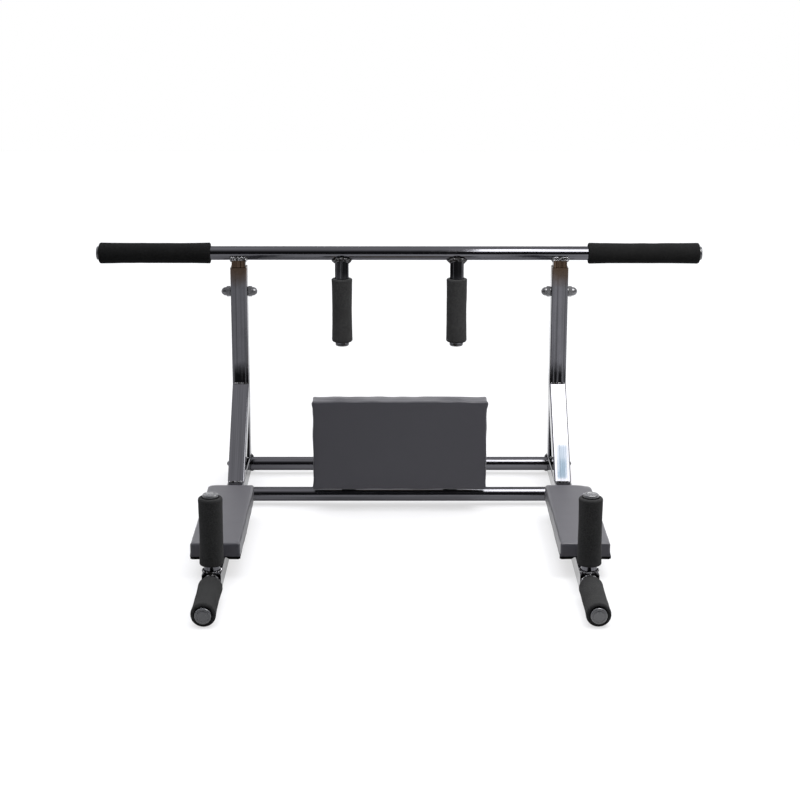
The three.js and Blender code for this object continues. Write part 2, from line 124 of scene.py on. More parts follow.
before_back = (SOFTBOX_Y[0], GEL_Y[1])
panel("back_panel", SOFTBOX_X, (GEL_Y[1], SOFTBOX_Y[1]), BACK_BRIGHTNESS, WHITE_LIGHT)
panel("left_panel", (SOFTBOX_X[0], GEL_X[0]), before_back, FRONT_BRIGHTNESS, WHITE_LIGHT)
panel("right_panel", (GEL_X[1], SOFTBOX_X[1]), before_back, FRONT_BRIGHTNESS, WHITE_LIGHT, lights=True)
panel("front_panel", GEL_X, (SOFTBOX_Y[0], GEL_Y[0]), FRONT_BRIGHTNESS, WHITE_LIGHT)
panel("blue_gel", GEL_X, (GEL_Y[0], GEL_PALE_FROM), GEL_BRIGHTNESS, GEL_BLUE)
panel("pale_gel", GEL_X, (GEL_PALE_FROM, GEL_Y[1]), GEL_PALE_BRIGHTNESS, GEL_PALE)

# %% [markdown]
# Node trees are easier to read when a node and its links are made in one line. The helpers below add
# a node, set what is constant, link what comes from another node, and do arithmetic. The world then
# uses them: the camera sees plain white, mirrors see the room, and everything else gets an even soft
# light.

# %% Helpers for node trees
def put(tree, kind, inputs=None, **settings):
    """Adds a node. Each input is a constant, or the output socket of another node."""
    made = tree.nodes.new(kind)
    for name, value in settings.items():
        setattr(made, name, value)
    for key, value in (inputs or {}).items():
        if isinstance(value, bpy.types.NodeSocket):
            tree.links.new(value, made.inputs[key])
        else:
            made.inputs[key].default_value = value
    return made


def maths(tree, operation, *values):
    """One step of arithmetic on numbers or sockets."""
    return put(tree, "ShaderNodeMath", dict(enumerate(values)), operation=operation).outputs[0]


def blend_colours(tree, share, first, second):
    """The colour that goes from the first to the second as the share goes from 0 to 1."""
    mixed = put(tree, "ShaderNodeMix", {0: share, 6: first, 7: second}, data_type="RGBA")
    return mixed.outputs[2]


def ramp(tree, value, low, high, to_low=0.0, to_high=1.0):
    """A value's range between low and high, spread smoothly over another range."""
    inputs = {"Value": value, "From Min": low, "From Max": high, "To Min": to_low, "To Max": to_high}
    return put(tree, "ShaderNodeMapRange", inputs, interpolation_type="SMOOTHSTEP").outputs[0]


# %% Light the room
SOFT_LIGHT_BEHIND = (0.95, 0.95, 0.97, 1)
SOFT_LIGHT_BEFORE = (0.1, 0.1, 0.1, 1)
SOFT_LIGHT_ABOVE = (3.75, 3.8, 3.95, 1)
OVERHEAD = (0.55, 1.0)
BEHIND = (-0.7, 0.7)
ROOM_WHITE = (1.0, 1.0, 1.02, 1)
ROOM_DARK = (0.034, 0.034, 0.038, 1)
BACKGROUND_WHITE = (1, 1, 1, 1)
DARK_ZONE_TOP = (math.radians(28), math.radians(82))
DARK_ZONE_BOTTOM = (math.radians(-80), math.radians(-100))

world = bpy.data.worlds.new("studio")
world.use_nodes = True
bpy.context.scene.world = world
tree = world.node_tree
tree.nodes.clear()
direction = put(tree, "ShaderNodeSeparateXYZ", {0: put(tree, "ShaderNodeTexCoord").outputs["Generated"]})
towards_camera = maths(tree, "MULTIPLY", direction.outputs[1], -1.0)
height_angle = maths(tree, "ARCTAN2", direction.outputs[2], towards_camera)
above = ramp(tree, height_angle, *DARK_ZONE_TOP)
below = ramp(tree, height_angle, *DARK_ZONE_BOTTOM)
bright = maths(tree, "MAXIMUM", above, below)
room = blend_colours(tree, bright, ROOM_DARK, ROOM_WHITE)
path = put(tree, "ShaderNodeLightPath")
behind = ramp(tree, direction.outputs[1], *BEHIND)
soft = blend_colours(tree, behind, SOFT_LIGHT_BEFORE, SOFT_LIGHT_BEHIND)
overhead = ramp(tree, direction.outputs[2], *OVERHEAD)
soft = blend_colours(tree, overhead, soft, SOFT_LIGHT_ABOVE)
seen = blend_colours(tree, path.outputs["Is Glossy Ray"], soft, room)
seen = blend_colours(tree, path.outputs["Is Camera Ray"], seen, BACKGROUND_WHITE)
seen = blend_colours(tree, path.outputs["Is Transmission Ray"], seen, BACKGROUND_WHITE)
background = put(tree, "ShaderNodeBackground", {"Color": seen})
put(tree, "ShaderNodeOutputWorld", {"Surface": background.outputs[0]})
world.cycles.sampling_method = "NONE"
print("world nodes:", len(tree.nodes))

# %% [markdown]
# ## Floor
#
# The floor is a sheet of white paper that ends in front of the station, where the dark part of the
# room begins. A pure white floor could be had with more light, but then the tubes would burn out
# too. Instead the paper adds a share of its own white for what the camera sees, and what is left of
# the real shading still shows the shadows.

# %% Lay the paper floor
PAPER_WIDTH = 9.0
PAPER_FRONT = -2.1
PAPER_BACK = 5.0
PAPER_SIZE = (PAPER_WIDTH, PAPER_BACK - PAPER_FRONT, 1)
PAPER_OWN_WHITE = (0.63, 0.627, 0.63, 1)
PAPER_MATT = (0.27, 0.27, 0.272, 1)
PAPER_MIRRORED_LEFT = (0.32, 0.32, 0.32, 1)
PAPER_MIRRORED_RIGHT = (0.66, 0.66, 0.66, 1)
PAPER_BRIGHTENS = (-0.5, 0.5)

bpy.ops.mesh.primitive_plane_add(size=1, location=(0, (PAPER_FRONT + PAPER_BACK) / 2, 0))
floor = bpy.context.object
floor.name = "paper_floor"
floor.scale = PAPER_SIZE
paper = bpy.data.materials.new("white_paper")
paper.use_nodes = True
tree = paper.node_tree
tree.nodes.clear()
path = put(tree, "ShaderNodeLightPath")
own = blend_colours(tree, path.outputs["Is Camera Ray"], (0, 0, 0, 1), PAPER_OWN_WHITE)
across = put(tree, "ShaderNodeSeparateXYZ", {0: put(tree, "ShaderNodeNewGeometry").outputs["Position"]})
rightwards = ramp(tree, across.outputs[0], *PAPER_BRIGHTENS)
mirrored = blend_colours(tree, rightwards, PAPER_MIRRORED_LEFT, PAPER_MIRRORED_RIGHT)
own = blend_colours(tree, path.outputs["Is Glossy Ray"], own, mirrored)
glow = put(tree, "ShaderNodeEmission", {"Color": own})
matt = put(tree, "ShaderNodeBsdfDiffuse", {"Color": PAPER_MATT})
both = put(tree, "ShaderNodeAddShader", {0: glow.outputs[0], 1: matt.outputs[0]})
put(tree, "ShaderNodeOutputMaterial", {"Surface": both.outputs[0]})
floor.data.materials.append(paper)
print("floor:", PAPER_SIZE[:2])

# %% [markdown]
# ## Shared effects
#
# Some effects come back on many finishes: fine streaks from drawing the tube, the brown colour that
# welding burns into steel, smudges from hands, grain, and wear on edges. Each is a node group, built
# once and placed with its own values. A group gives out only a mask or a height. The shader that
# uses it stays in the material, where it can be seen.

# %% Start a node group
def start_group(name, inputs, output):
    """A new group. Its inputs are given with their usual values. Gives its tree, entry and exit."""
    group = bpy.data.node_groups.new(name, "ShaderNodeTree")
    for label, value in inputs.items():
        kind = "NodeSocketVector" if isinstance(value, tuple) else "NodeSocketFloat"
        made = group.interface.new_socket(label, in_out="INPUT", socket_type=kind)
        made.default_value = value
    group.interface.new_socket(output, in_out="OUTPUT", socket_type="NodeSocketFloat")
    return group, put(group, "NodeGroupInput"), put(group, "NodeGroupOutput")


def effect(tree, name, **inputs):
    """Places a group in a tree and gives its output."""
    placed = put(tree, "ShaderNodeGroup", inputs, node_tree=bpy.data.node_groups[name])
    return placed.outputs[0]


def own_place(tree):
    """A point's place in its object. Finished objects stand at the origin, so it is the station's."""
    return put(tree, "ShaderNodeTexCoord").outputs["Object"]


def cloudy(tree, place, scale, detail, distortion=0.0):
    """Noise between 0 and 1 that drifts from place to place."""
    inputs = {"Vector": place, "Scale": scale, "Detail": detail, "Distortion": distortion}
    return put(tree, "ShaderNodeTexNoise", inputs).outputs[0]


print("helpers: start_group, effect, own_place, cloudy")

# %% Streaks, smudges and grain
STREAK_EDGE = (0.3, 0.7)

group, entry, leave = start_group("Drawn Streaks", {"Place": (0, 0, 0), "Across": 300, "Along": 4}, "Streak")
scale = put(group, "ShaderNodeCombineXYZ", {0: entry.outputs[1], 1: entry.outputs[1], 2: entry.outputs[2]})
factors = {0: entry.outputs[0], 1: scale.outputs[0]}
stretched = put(group, "ShaderNodeVectorMath", factors, operation="MULTIPLY").outputs[0]
lines = cloudy(group, stretched, 1.0, 2.0)
group.links.new(ramp(group, lines, *STREAK_EDGE), leave.inputs[0])

group, entry, leave = start_group("Smudges", {"Scale": 20, "Sharpness": 0.15}, "Smudge")
cloud = cloudy(group, own_place(group), entry.outputs[0], 5.0)
low = maths(group, "SUBTRACT", 0.5, entry.outputs[1])
high = maths(group, "ADD", 0.5, entry.outputs[1])
group.links.new(ramp(group, cloud, low, high), leave.inputs[0])

group, entry, leave = start_group("Pebble Grain", {"Scale": 1000, "Softness": 0.5}, "Height")
place = own_place(group)
cells = put(group, "ShaderNodeTexVoronoi", {"Vector": place, "Scale": entry.outputs[0]}, feature="F1")
crumbs = cloudy(group, place, entry.outputs[0], 3.0)
parts = {0: entry.outputs[1], 2: cells.outputs[0], 3: crumbs}
group.links.new(put(group, "ShaderNodeMix", parts, data_type="FLOAT").outputs[0], leave.inputs[0])
print("groups:", [g.name for g in bpy.data.node_groups])

# %% Weld heat and edge wear
HEAT_RIPPLE = 0.012
HEAT_CORE = 0.4
POINTED = (0.52, 0.62)
CHIP_EDGE = (0.35, 0.7)

group, entry, leave = start_group("Weld Heat", {"Weld": (0, 0, 0), "Reach": 0.04}, "Heat")
place = own_place(group)
mirrored = put(group, "ShaderNodeVectorMath", {0: place}, operation="ABSOLUTE").outputs[0]
ends = {0: mirrored, 1: entry.outputs[0]}
distance = put(group, "ShaderNodeVectorMath", ends, operation="DISTANCE").outputs[1]
uneven = maths(group, "MULTIPLY_ADD", cloudy(group, place, 120.0, 3.0), HEAT_RIPPLE, distance)
core = maths(group, "MULTIPLY", entry.outputs[1], HEAT_CORE)
group.links.new(ramp(group, uneven, entry.outputs[1], core), leave.inputs[0])

group, entry, leave = start_group("Edge Wear", {"Amount": 0.5, "Scale": 150}, "Wear")
edge = ramp(group, put(group, "ShaderNodeNewGeometry").outputs["Pointiness"], *POINTED)
chips = ramp(group, cloudy(group, own_place(group), entry.outputs[1], 4.0), *CHIP_EDGE)
rubbed = maths(group, "MULTIPLY", edge, chips)
group.links.new(maths(group, "MULTIPLY", rubbed, entry.outputs[0]), leave.inputs[0])
print("groups:", len(bpy.data.node_groups))

# %% [markdown]
# ## Dark chrome
#
# The tube is polished, plated with a dark nickel chrome and then welded to its neighbours, which
# burns a brown stain round each weld. The plating shows fine streaks along the tube. So the streak
# pattern has to follow each tube's run: the same material is made once for upright, crosswise,
# forward and slanted tube, with the pattern turned to suit. Stains are worked out from the distance
# to the welds, whose places come from the frame. Thin lighter lines in the soot are painted glints,
# and a few faint dark lines painted up the posts stand in for reflections.

# %% Where the welds are
def centre_of(node):
    """The middle of a frame piece."""
    low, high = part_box(node)
    return (low + high) / 2


def size_of(node):
    """A frame piece's width, depth and height."""
    low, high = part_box(node)
    return high - low


bar_axis = centre_of("pull_up_bar")
tube_radius = size_of("pull_up_bar").z / 2
arm_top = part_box("arm_tube_right")[1].z
arm_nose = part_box("arm_tube_right")[0].y
neck = Vector((centre_of("post_right").x, bar_axis.y, bar_axis.z - tube_radius))
root = Vector((centre_of("hanging_handle_right").x, bar_axis.y, bar_axis.z - tube_radius))
upright_foot = Vector((*centre_of("upright_handle_right").xy, arm_top))
forward_foot = Vector((centre_of("forward_handle_right").x, arm_nose, centre_of("arm_tube_right").z))
knee = Vector((neck.x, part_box("brace_right")[1].y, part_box("brace_right")[1].z))
foot = Vector((neck.x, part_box("brace_right")[0].y, arm_top))
print("welds at", [tuple(round(v, 4) for v in place) for place in (neck, root, knee, foot)])


# %% Mix the dark chrome
def principled(name):
    """A new material with a Principled shader. Gives the material, its tree and the shader."""
    material = bpy.data.materials.new(name)
    material.use_nodes = True
    tree = material.node_tree
    return material, tree, tree.nodes["Principled BSDF"]


def bump(tree, shader, height, distance):
    """Feeds a height to the shader's normal. The distance is the relief's depth in metres."""
    relief = put(tree, "ShaderNodeBump", {"Height": height, "Distance": distance, "Strength": 1.0})
    tree.links.new(relief.outputs[0], shader.inputs["Normal"])


CHROME = (0.134, 0.133, 0.146, 1)
CHROME_STREAK = (0.099, 0.099, 0.108, 1)
CHROME_BROWN = (0.1, 0.069, 0.05, 1)
CHROME_BURNT = (0.03, 0.018, 0.011, 1)
CHROME_SOOT = (0.01, 0.01, 0.011, 1)
# Painted glints: thin lighter lines across the soot round the welds.
CHROME_PAINTED_GLINT = (0.13, 0.13, 0.14, 1)
# Painted reflections: faint dark lines up the posts, at the places across X given below.
CHROME_PAINTED_REFLECTION = (0.055, 0.054, 0.06, 1)
PAINTED_REFLECTION_LINES = (-0.2982, 0.2886, 0.3027)
PAINTED_LINE_WIDTH = 1.3 * MM
PAINTED_LINE_SHARE = 0.8
GLINT_LINE_EDGE = (0.5, 0.85)
SOOT_BLUR = 0.15
STREAK_RELIEF = 0.012 * MM
BLUR = 0.1


def dark_chrome(name, turn, stains=(), burnt=False, relief=STREAK_RELIEF, rim=1.0, blur=BLUR, weld_seams_and_painted_lines=()):
    """Plated tube whose streaks run along Z once the pattern is turned. A low rim dims its outline."""
    material, tree, shader = principled(name)
    place = own_place(tree)
    turned = put(tree, "ShaderNodeMapping", {"Vector": place, "Rotation": turn}).outputs[0]
    streak = effect(tree, "Drawn Streaks", Place=turned, Across=420.0, Along=5.0)
    tones = (CHROME_BROWN, CHROME_BURNT) if burnt else (CHROME, CHROME_STREAK)
    colour = blend_colours(tree, streak, *tones)
    smudge = effect(tree, "Smudges", Scale=38.0, Sharpness=0.2)
    gloss = ramp(tree, smudge, 0.0, 1.0, blur, 1.5 * blur)
    across = put(tree, "ShaderNodeSeparateXYZ", {0: place}).outputs[0]
    # Painted reflections: dark lines at fixed places across X.
    for painted_line_x in weld_seams_and_painted_lines:
        away = maths(tree, "ABSOLUTE", maths(tree, "SUBTRACT", across, painted_line_x))
        line = ramp(tree, away, PAINTED_LINE_WIDTH, 0.0, 0.0, PAINTED_LINE_SHARE)
        colour = blend_colours(tree, line, colour, CHROME_PAINTED_REFLECTION)
    for weld, reach, tint in stains:
        heat = effect(tree, "Weld Heat", Weld=weld, Reach=reach)
        if tint == CHROME_SOOT:
            # The soot gets thin lighter streaks: painted glints.
            glint_streaks = effect(tree, "Drawn Streaks", Place=turned, Across=170.0, Along=2.0)
            tint = blend_colours(tree, ramp(tree, glint_streaks, *GLINT_LINE_EDGE), CHROME_SOOT, CHROME_PAINTED_GLINT)
        colour = blend_colours(tree, heat, colour, tint)
        gloss = maths(tree, "MULTIPLY_ADD", heat, SOOT_BLUR, gloss)
    tree.links.new(colour, shader.inputs["Base Color"])
    tree.links.new(gloss, shader.inputs["Roughness"])
    shader.inputs["Metallic"].default_value = 1.0
    shader.inputs["Specular Tint"].default_value = (rim, rim, rim, 1)
    bump(tree, shader, streak, relief)
    return material


brace_size = size_of("brace_right")
slant = math.atan2(brace_size.y, brace_size.z)
POST_STAINS = [(neck, 0.062, CHROME_BROWN), (knee, 0.052, CHROME_SOOT)]
HANDLE_STAINS = [(upright_foot, 0.016, CHROME_SOOT), (forward_foot, 0.016, CHROME_SOOT)]
HANGING_STAINS = [(root, 0.075, CHROME_SOOT)]
BRACE_STAINS = [(foot, 0.006, CHROME_SOOT)]
BRACE_RELIEF = 0.0015 * MM
BRACE_BLUR = 0.04
BURNT_RELIEF = 0.2 * MM
ROUND_RIM = 0.35
ALONG_X = (0, math.radians(90), 0)
ALONG_Y = (math.radians(90), 0, 0)
ALONG_Z = (0, 0, 0)
finishes = {
    "upright": dict(turn=ALONG_Z, stains=POST_STAINS, weld_seams_and_painted_lines=PAINTED_REFLECTION_LINES),
    "across": dict(turn=ALONG_X, rim=ROUND_RIM),
    "hanging": dict(turn=ALONG_Z, stains=HANGING_STAINS, rim=ROUND_RIM),
    "forward": dict(turn=ALONG_Y, stains=HANDLE_STAINS),
    "slanted": dict(turn=(slant, 0, 0), stains=BRACE_STAINS, relief=BRACE_RELIEF, blur=BRACE_BLUR),
    "burnt": dict(turn=ALONG_Z, burnt=True, relief=BURNT_RELIEF),
}
chrome = {run: dark_chrome(f"dark_chrome_{run}", **finish) for run, finish in finishes.items()}
print("chrome:", sorted(chrome), "brace slant", round(math.degrees(slant), 1))

# %% [markdown]
# ## The other metals
#
# Weld beads are cast drops of steel under the same plating: darker, rougher and burnt. Bolts and
# nuts are zinc plated, so they are paler and duller than the tube, with rubbed edges.

# %% Mix weld metal and bolt steel
WELD_BURNT = (0.028, 0.025, 0.024, 1)
WELD_ROUGHNESS = (0.12, 0.3)
BOLT_PLATED = (0.21, 0.21, 0.217, 1)
BOLT_HAZED = (0.15, 0.15, 0.157, 1)
BOLT_RUBBED = (0.4, 0.4, 0.4, 1)
BOLT_ROUGHNESS = (0.36, 0.42)


def cast_steel(name, bright):
    """Weld metal: pitted, with bright and burnt patches a few millimetres wide."""
    material, tree, shader = principled(name)
    pits = effect(tree, "Pebble Grain", Scale=900.0, Softness=0.6)
    burn = effect(tree, "Smudges", Scale=300.0, Sharpness=0.07)
    clean = (bright, bright, 1.04 * bright, 1)
    tree.links.new(blend_colours(tree, burn, clean, WELD_BURNT), shader.inputs["Base Color"])
    tree.links.new(ramp(tree, burn, 0.0, 1.0, *WELD_ROUGHNESS), shader.inputs["Roughness"])
    shader.inputs["Metallic"].default_value = 1.0
    bump(tree, shader, pits, 0.1 * MM)
    return material


weld_metal = cast_steel("weld_metal", bright=0.42)
dull_weld = cast_steel("dull_weld", bright=0.17)
bolt_steel, tree, shader = principled("bolt_steel")
haze = effect(tree, "Smudges", Scale=300.0, Sharpness=0.25)
wear = effect(tree, "Edge Wear", Amount=0.12, Scale=400.0)
plated = blend_colours(tree, haze, BOLT_PLATED, BOLT_HAZED)
tree.links.new(blend_colours(tree, wear, plated, BOLT_RUBBED), shader.inputs["Base Color"])
tree.links.new(ramp(tree, haze, 0.0, 1.0, *BOLT_ROUGHNESS), shader.inputs["Roughness"])
shader.inputs["Metallic"].default_value = 1.0
bump(tree, shader, effect(tree, "Pebble Grain", Scale=2500.0, Softness=0.8), 0.01 * MM)
print("metals:", weld_metal.name, bolt_steel.name)

# %% [markdown]
# ## Foam, plastic, vinyl and plywood
#
# The grips are closed-cell foam: matt, with pores a fraction of a millimetre wide and paler dust on
# the high spots. Each kind of grip is scaled to a brightness of its own: painted light and shade. The
# round plugs are grey moulded plastic, and the foot plugs are the same in black.
# The pads wear a synthetic leather with a fine pebble under a thin coat, so that the tops pick up the
# white wall at a low angle as real vinyl does. Where it is turned under it is painted black, as painted
# shade under the pad. A pad tells the material so with an attribute named hem, and there the coat ends
# and the metallic value keeps the painted black free of any gloss.

# %% Mix the foam
FOAM_CLEAN = (0.015, 0.036)
FOAM_DUSTY = (0.019, 0.046)


def black_foam(name, painted_brightness, gloss=0.3):
    """Closed-cell foam. Its painted brightness scales the colour: painted light and shade for each kind of
    grip.
    """
    material, tree, shader = principled(name)
    pores = effect(tree, "Pebble Grain", Scale=1500.0, Softness=0.45)
    dust = effect(tree, "Smudges", Scale=700.0, Sharpness=0.2)
    patches = effect(tree, "Smudges", Scale=30.0, Sharpness=0.25)
    clean = [(*[painted_brightness * level] * 3, 1) for level in FOAM_CLEAN]
    dusty = [(*[painted_brightness * level] * 3, 1) for level in FOAM_DUSTY]
    grey = blend_colours(tree, dust, *clean)
    pale = blend_colours(tree, dust, *dusty)
    tree.links.new(blend_colours(tree, patches, grey, pale), shader.inputs["Base Color"])
    shader.inputs["Roughness"].default_value = 0.93
    shader.inputs["Specular IOR Level"].default_value = gloss
    bump(tree, shader, pores, 0.4 * MM)
    return material


# Each kind of grip gets its own painted brightness, which stands in for the light it gets.
foam = {
    "bar": black_foam("bar_foam_painted_shade", painted_brightness=0.28, gloss=0.12),
    "hanging": black_foam("hanging_foam_painted_light", painted_brightness=1.32),
    "upright": black_foam("foam_rubbed", painted_brightness=0.68),
    "forward": black_foam("forward_foam_painted_shade", painted_brightness=0.54),
}
print("foam:", sorted(foam))

# %% Mix the moulded plastics
PLUG_GREY = (0.053, 0.054, 0.059, 1)
PLUG_GREY_RUBBED = (0.15, 0.155, 0.165, 1)
PLUG_BLACK = (0.013, 0.013, 0.014, 1)
PLUG_BLACK_RUBBED = (0.05, 0.05, 0.05, 1)
SMUDGE_BLUR = 0.06


def moulded(name, colour, worn_colour, roughness):
    """Satin plastic with a fine spark texture, rubbed edges and smudges."""
    material, tree, shader = principled(name)
    wear = effect(tree, "Edge Wear", Amount=0.7, Scale=250.0)
    tree.links.new(blend_colours(tree, wear, colour, worn_colour), shader.inputs["Base Color"])
    smudge = effect(tree, "Smudges", Scale=90.0, Sharpness=0.2)
    uneven = ramp(tree, smudge, 0.0, 1.0, roughness - SMUDGE_BLUR, roughness + SMUDGE_BLUR)
    tree.links.new(uneven, shader.inputs["Roughness"])
    shader.inputs["Coat Weight"].default_value = 0.9
    shader.inputs["Coat Roughness"].default_value = 0.16
    bump(tree, shader, effect(tree, "Pebble Grain", Scale=3000.0, Softness=0.7), 0.05 * MM)
    return material


grey_plug = moulded("grey_plug", PLUG_GREY, PLUG_GREY_RUBBED, roughness=0.28)
black_plug = moulded("black_plug", PLUG_BLACK, PLUG_BLACK_RUBBED, roughness=0.5)
print("plastics:", grey_plug.name, black_plug.name)

# %% Mix the vinyl
VINYL = (0.047, 0.0455, 0.055, 1)
VINYL_PALE = (0.051, 0.0492, 0.059, 1)
# Painted shade in the pits of the pebble grain.
VINYL_PAINTED_PIT_SHADE = (0.0395, 0.0385, 0.046, 1)
# Painted shade: the black of the turned-under vinyl.
HEM_PAINTED_SHADE = (0.004, 0.004, 0.004, 1)
HEM_SHADE_EDGE = (0.32, 0.45)
PIT_EDGE = (0.1, 0.45)
VINYL_COAT = 0.95
VINYL_ROUGHNESS = (0.48, 0.52)
CREASE_SHARE = 0.9

vinyl, tree, shader = principled("grey_vinyl")
pebble = effect(tree, "Pebble Grain", Scale=1100.0, Softness=0.35)
tone = effect(tree, "Smudges", Scale=14.0, Sharpness=0.3)
crease = effect(tree, "Pebble Grain", Scale=160.0, Softness=1.0)
base = blend_colours(tree, tone, VINYL, VINYL_PALE)
# Painted shade: the low cells of the pebble grain are darker.
pitted = blend_colours(tree, ramp(tree, pebble, *PIT_EDGE), VINYL_PAINTED_PIT_SHADE, base)
hem = put(tree, "ShaderNodeAttribute", attribute_name="hem").outputs["Fac"]
# Painted shade: the vinyl turns black where the hem attribute says it is turned under.
cloth_sim_and_hem_shade = ramp(tree, hem, *HEM_SHADE_EDGE)
tree.links.new(blend_colours(tree, cloth_sim_and_hem_shade, pitted, HEM_PAINTED_SHADE), shader.inputs["Base Color"])
coated = maths(tree, "SUBTRACT", 1.0, cloth_sim_and_hem_shade)
tree.links.new(ramp(tree, coated, 0.0, 1.0, 0.0, VINYL_COAT), shader.inputs["Coat Weight"])
tree.links.new(cloth_sim_and_hem_shade, shader.inputs["Metallic"])
shader.inputs["Coat IOR"].default_value = 1.3
shader.inputs["Coat Roughness"].default_value = 0.42
tree.links.new(ramp(tree, tone, 0.0, 1.0, *VINYL_ROUGHNESS), shader.inputs["Roughness"])
shader.inputs["Specular IOR Level"].default_value = 0.28
bump(tree, shader, maths(tree, "MULTIPLY_ADD", crease, CREASE_SHARE, pebble), 0.09 * MM)
print("vinyl:", len(tree.nodes), "nodes")

# %% Mix the plywood
WOOD = (0.5, 0.34, 0.17, 1)
WOOD_RINGS = (0.36, 0.22, 0.1, 1)
WOOD_PORES = (0.22, 0.13, 0.06, 1)
RING_EDGE = (0.35, 0.65)
PORE_EDGE = (0.55, 0.75)
RING_STRETCH = (6, 60, 60)
PORE_STRETCH = (30, 900, 900)

plywood, tree, shader = principled("plywood")
place = own_place(tree)
laid = put(tree, "ShaderNodeMapping", {"Vector": place, "Scale": RING_STRETCH}).outputs[0]
fibre = put(tree, "ShaderNodeMapping", {"Vector": place, "Scale": PORE_STRETCH}).outputs[0]
rings = cloudy(tree, laid, 1.6, 4.0, distortion=1.2)
threads = cloudy(tree, fibre, 1.0, 2.0)
veneer = blend_colours(tree, ramp(tree, rings, *RING_EDGE), WOOD, WOOD_RINGS)
pores = blend_colours(tree, ramp(tree, threads, *PORE_EDGE), veneer, WOOD_PORES)
tree.links.new(pores, shader.inputs["Base Color"])
shader.inputs["Roughness"].default_value = 0.75
bump(tree, shader, threads, 0.1 * MM)
print("plywood:", len(tree.nodes), "nodes")

# %% [markdown]
# ## Working habits
#
# Every modelling step acts on what is selected, so each one starts by deselecting everything. These
# helpers do that, choose faces or edges by where they are, apply a modifier, and at the end bake a
# piece's place into its mesh, smooth it, paint it and tie it to the frame.

# %% Helpers for modelling
def clear():
    """Leaves edit mode and deselects everything."""
    if bpy.context.object and bpy.context.object.mode != "OBJECT":
        bpy.ops.object.mode_set(mode="OBJECT")
    bpy.ops.object.select_all(action="DESELECT")


def activate(piece):
    """Makes one piece the only selected one."""
    clear()
    piece.select_set(True)
    bpy.context.view_layer.objects.active = piece
    return piece


def bake_place(piece):
    """Puts the piece's place, turn and scale into its mesh."""
    activate(piece)
    bpy.ops.object.transform_apply(location=True, rotation=True, scale=True)
    return piece


def choose(piece, kind, test):
    """Goes into edit mode with only those faces, edges or corners selected that pass the test."""
    activate(piece)
    bpy.ops.object.mode_set(mode="EDIT")
    bpy.ops.mesh.select_mode(type=kind)
    bpy.ops.mesh.select_all(action="DESELECT")
    mesh = bmesh.from_edit_mesh(piece.data)
    items = {"VERT": mesh.verts, "EDGE": mesh.edges, "FACE": mesh.faces}[kind]
    for item in items:
        item.select_set(bool(test(item)))
    mesh.select_flush_mode()
    bmesh.update_edit_mesh(piece.data)


def modify(piece, kind, **settings):
    """Adds a modifier with these settings and applies it."""
    activate(piece)
    bpy.ops.object.modifier_add(type=kind)
    added = piece.modifiers[-1]
    for name, value in settings.items():
        setattr(added, name, value)
    bpy.ops.object.modifier_apply(modifier=added.name)
    return piece


def carve(piece, tool, way="DIFFERENCE"):
    """Cuts the tool out of the piece, or joins or intersects them, and deletes the tool."""
    modify(piece, "BOOLEAN", operation=way, object=tool, solver="EXACT")
    bpy.data.objects.remove(tool)
    return piece


def finish(piece, name, material, slot, nodes=(), smooth=32, flat=True):
    """Bakes the place, smooths by angle, paints and names the piece and ties it to the frame."""
    bake_place(piece)
    bpy.ops.object.shade_smooth_by_angle(angle=math.radians(smooth))
    if flat:
        modify(piece, "WEIGHTED_NORMAL", mode="FACE_AREA", weight=100, keep_sharp=True)
    piece.name = name
    piece.data.name = name
    piece.data.materials.clear()
    piece.data.materials.append(material)
    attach(piece, "root")
    if nodes:
        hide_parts(*nodes)
    return piece


def finish_node(piece, node, material, slot, **smoothing):
    """Finishes a piece that takes the place of one frame piece."""
    return finish(piece, f"{node}_finished", material, slot, [node], **smoothing)


def copy_of(piece):
    """A copy with its own mesh."""
    twin = piece.copy()
    twin.data = piece.data.copy()
    bpy.context.collection.objects.link(twin)
    return twin


print("helpers: clear to copy_of")

# %% [markdown]
# ## Round tube
#
# The bar, the handles and the cross tubes are 25 mm round tube. A solid rod would look the same from
# the side, but the sawn end of a tube shows between a grip and its plug. So the tube is an open
# cylinder that gets its wall from a Solidify modifier, with the sawn edges broken by a small bevel.

# %% Make the round tubes
ROUND_SIDES = 72
ROUND_WALL = 1.5 * MM
SAWN_EDGE = 0.3 * MM
COPE_GAP = 0.1 * MM
AXIS_TURNS = (ALONG_X, ALONG_Y, ALONG_Z)


def add_cylinder(radius, depth, place, axis=2, sides=ROUND_SIDES, ends="NGON"):
    """A cylinder along the X, Y or Z axis (0, 1 or 2)."""
    clear()
    bpy.ops.mesh.primitive_cylinder_add(
        vertices=sides,
        radius=radius,
        depth=depth,
        end_fill_type=ends,
        location=place,
        rotation=AXIS_TURNS[axis],
    )
    return bpy.context.object


def round_tube(node, axis):
    """A tube with the frame piece's place and size, along one axis."""
    size = size_of(node)
    tube = add_cylinder(min(size) / 2, size[axis], centre_of(node), axis, ends="NOTHING")
    modify(bake_place(tube), "SOLIDIFY", thickness=ROUND_WALL, offset=-1, use_even_offset=True)
    return modify(tube, "BEVEL", width=SAWN_EDGE, segments=2, limit_method="ANGLE")


def cope(piece, place, reach):
    """Cuts a piece to fit round a crosswise tube through a place."""
    return carve(piece, add_cylinder(tube_radius + COPE_GAP, reach, place, 0))


for node in ("pull_up_bar", "rear_cross_tube", "front_cross_tube"):
    finish_node(round_tube(node, 0), node, chrome["across"], "dark_chrome")
for side in SIDES:
    node = f"hanging_handle_{side}"
    tube = cope(round_tube(node, 2), (centre_of(node).x, *bar_axis.yz), 4 * tube_radius)
    finish_node(tube, node, chrome["hanging"], "dark_chrome")
    for run, axis in (("upright", 2), ("forward", 1)):
        node = f"{run}_handle_{side}"
        finish_node(round_tube(node, axis), node, chrome[run], "dark_chrome")

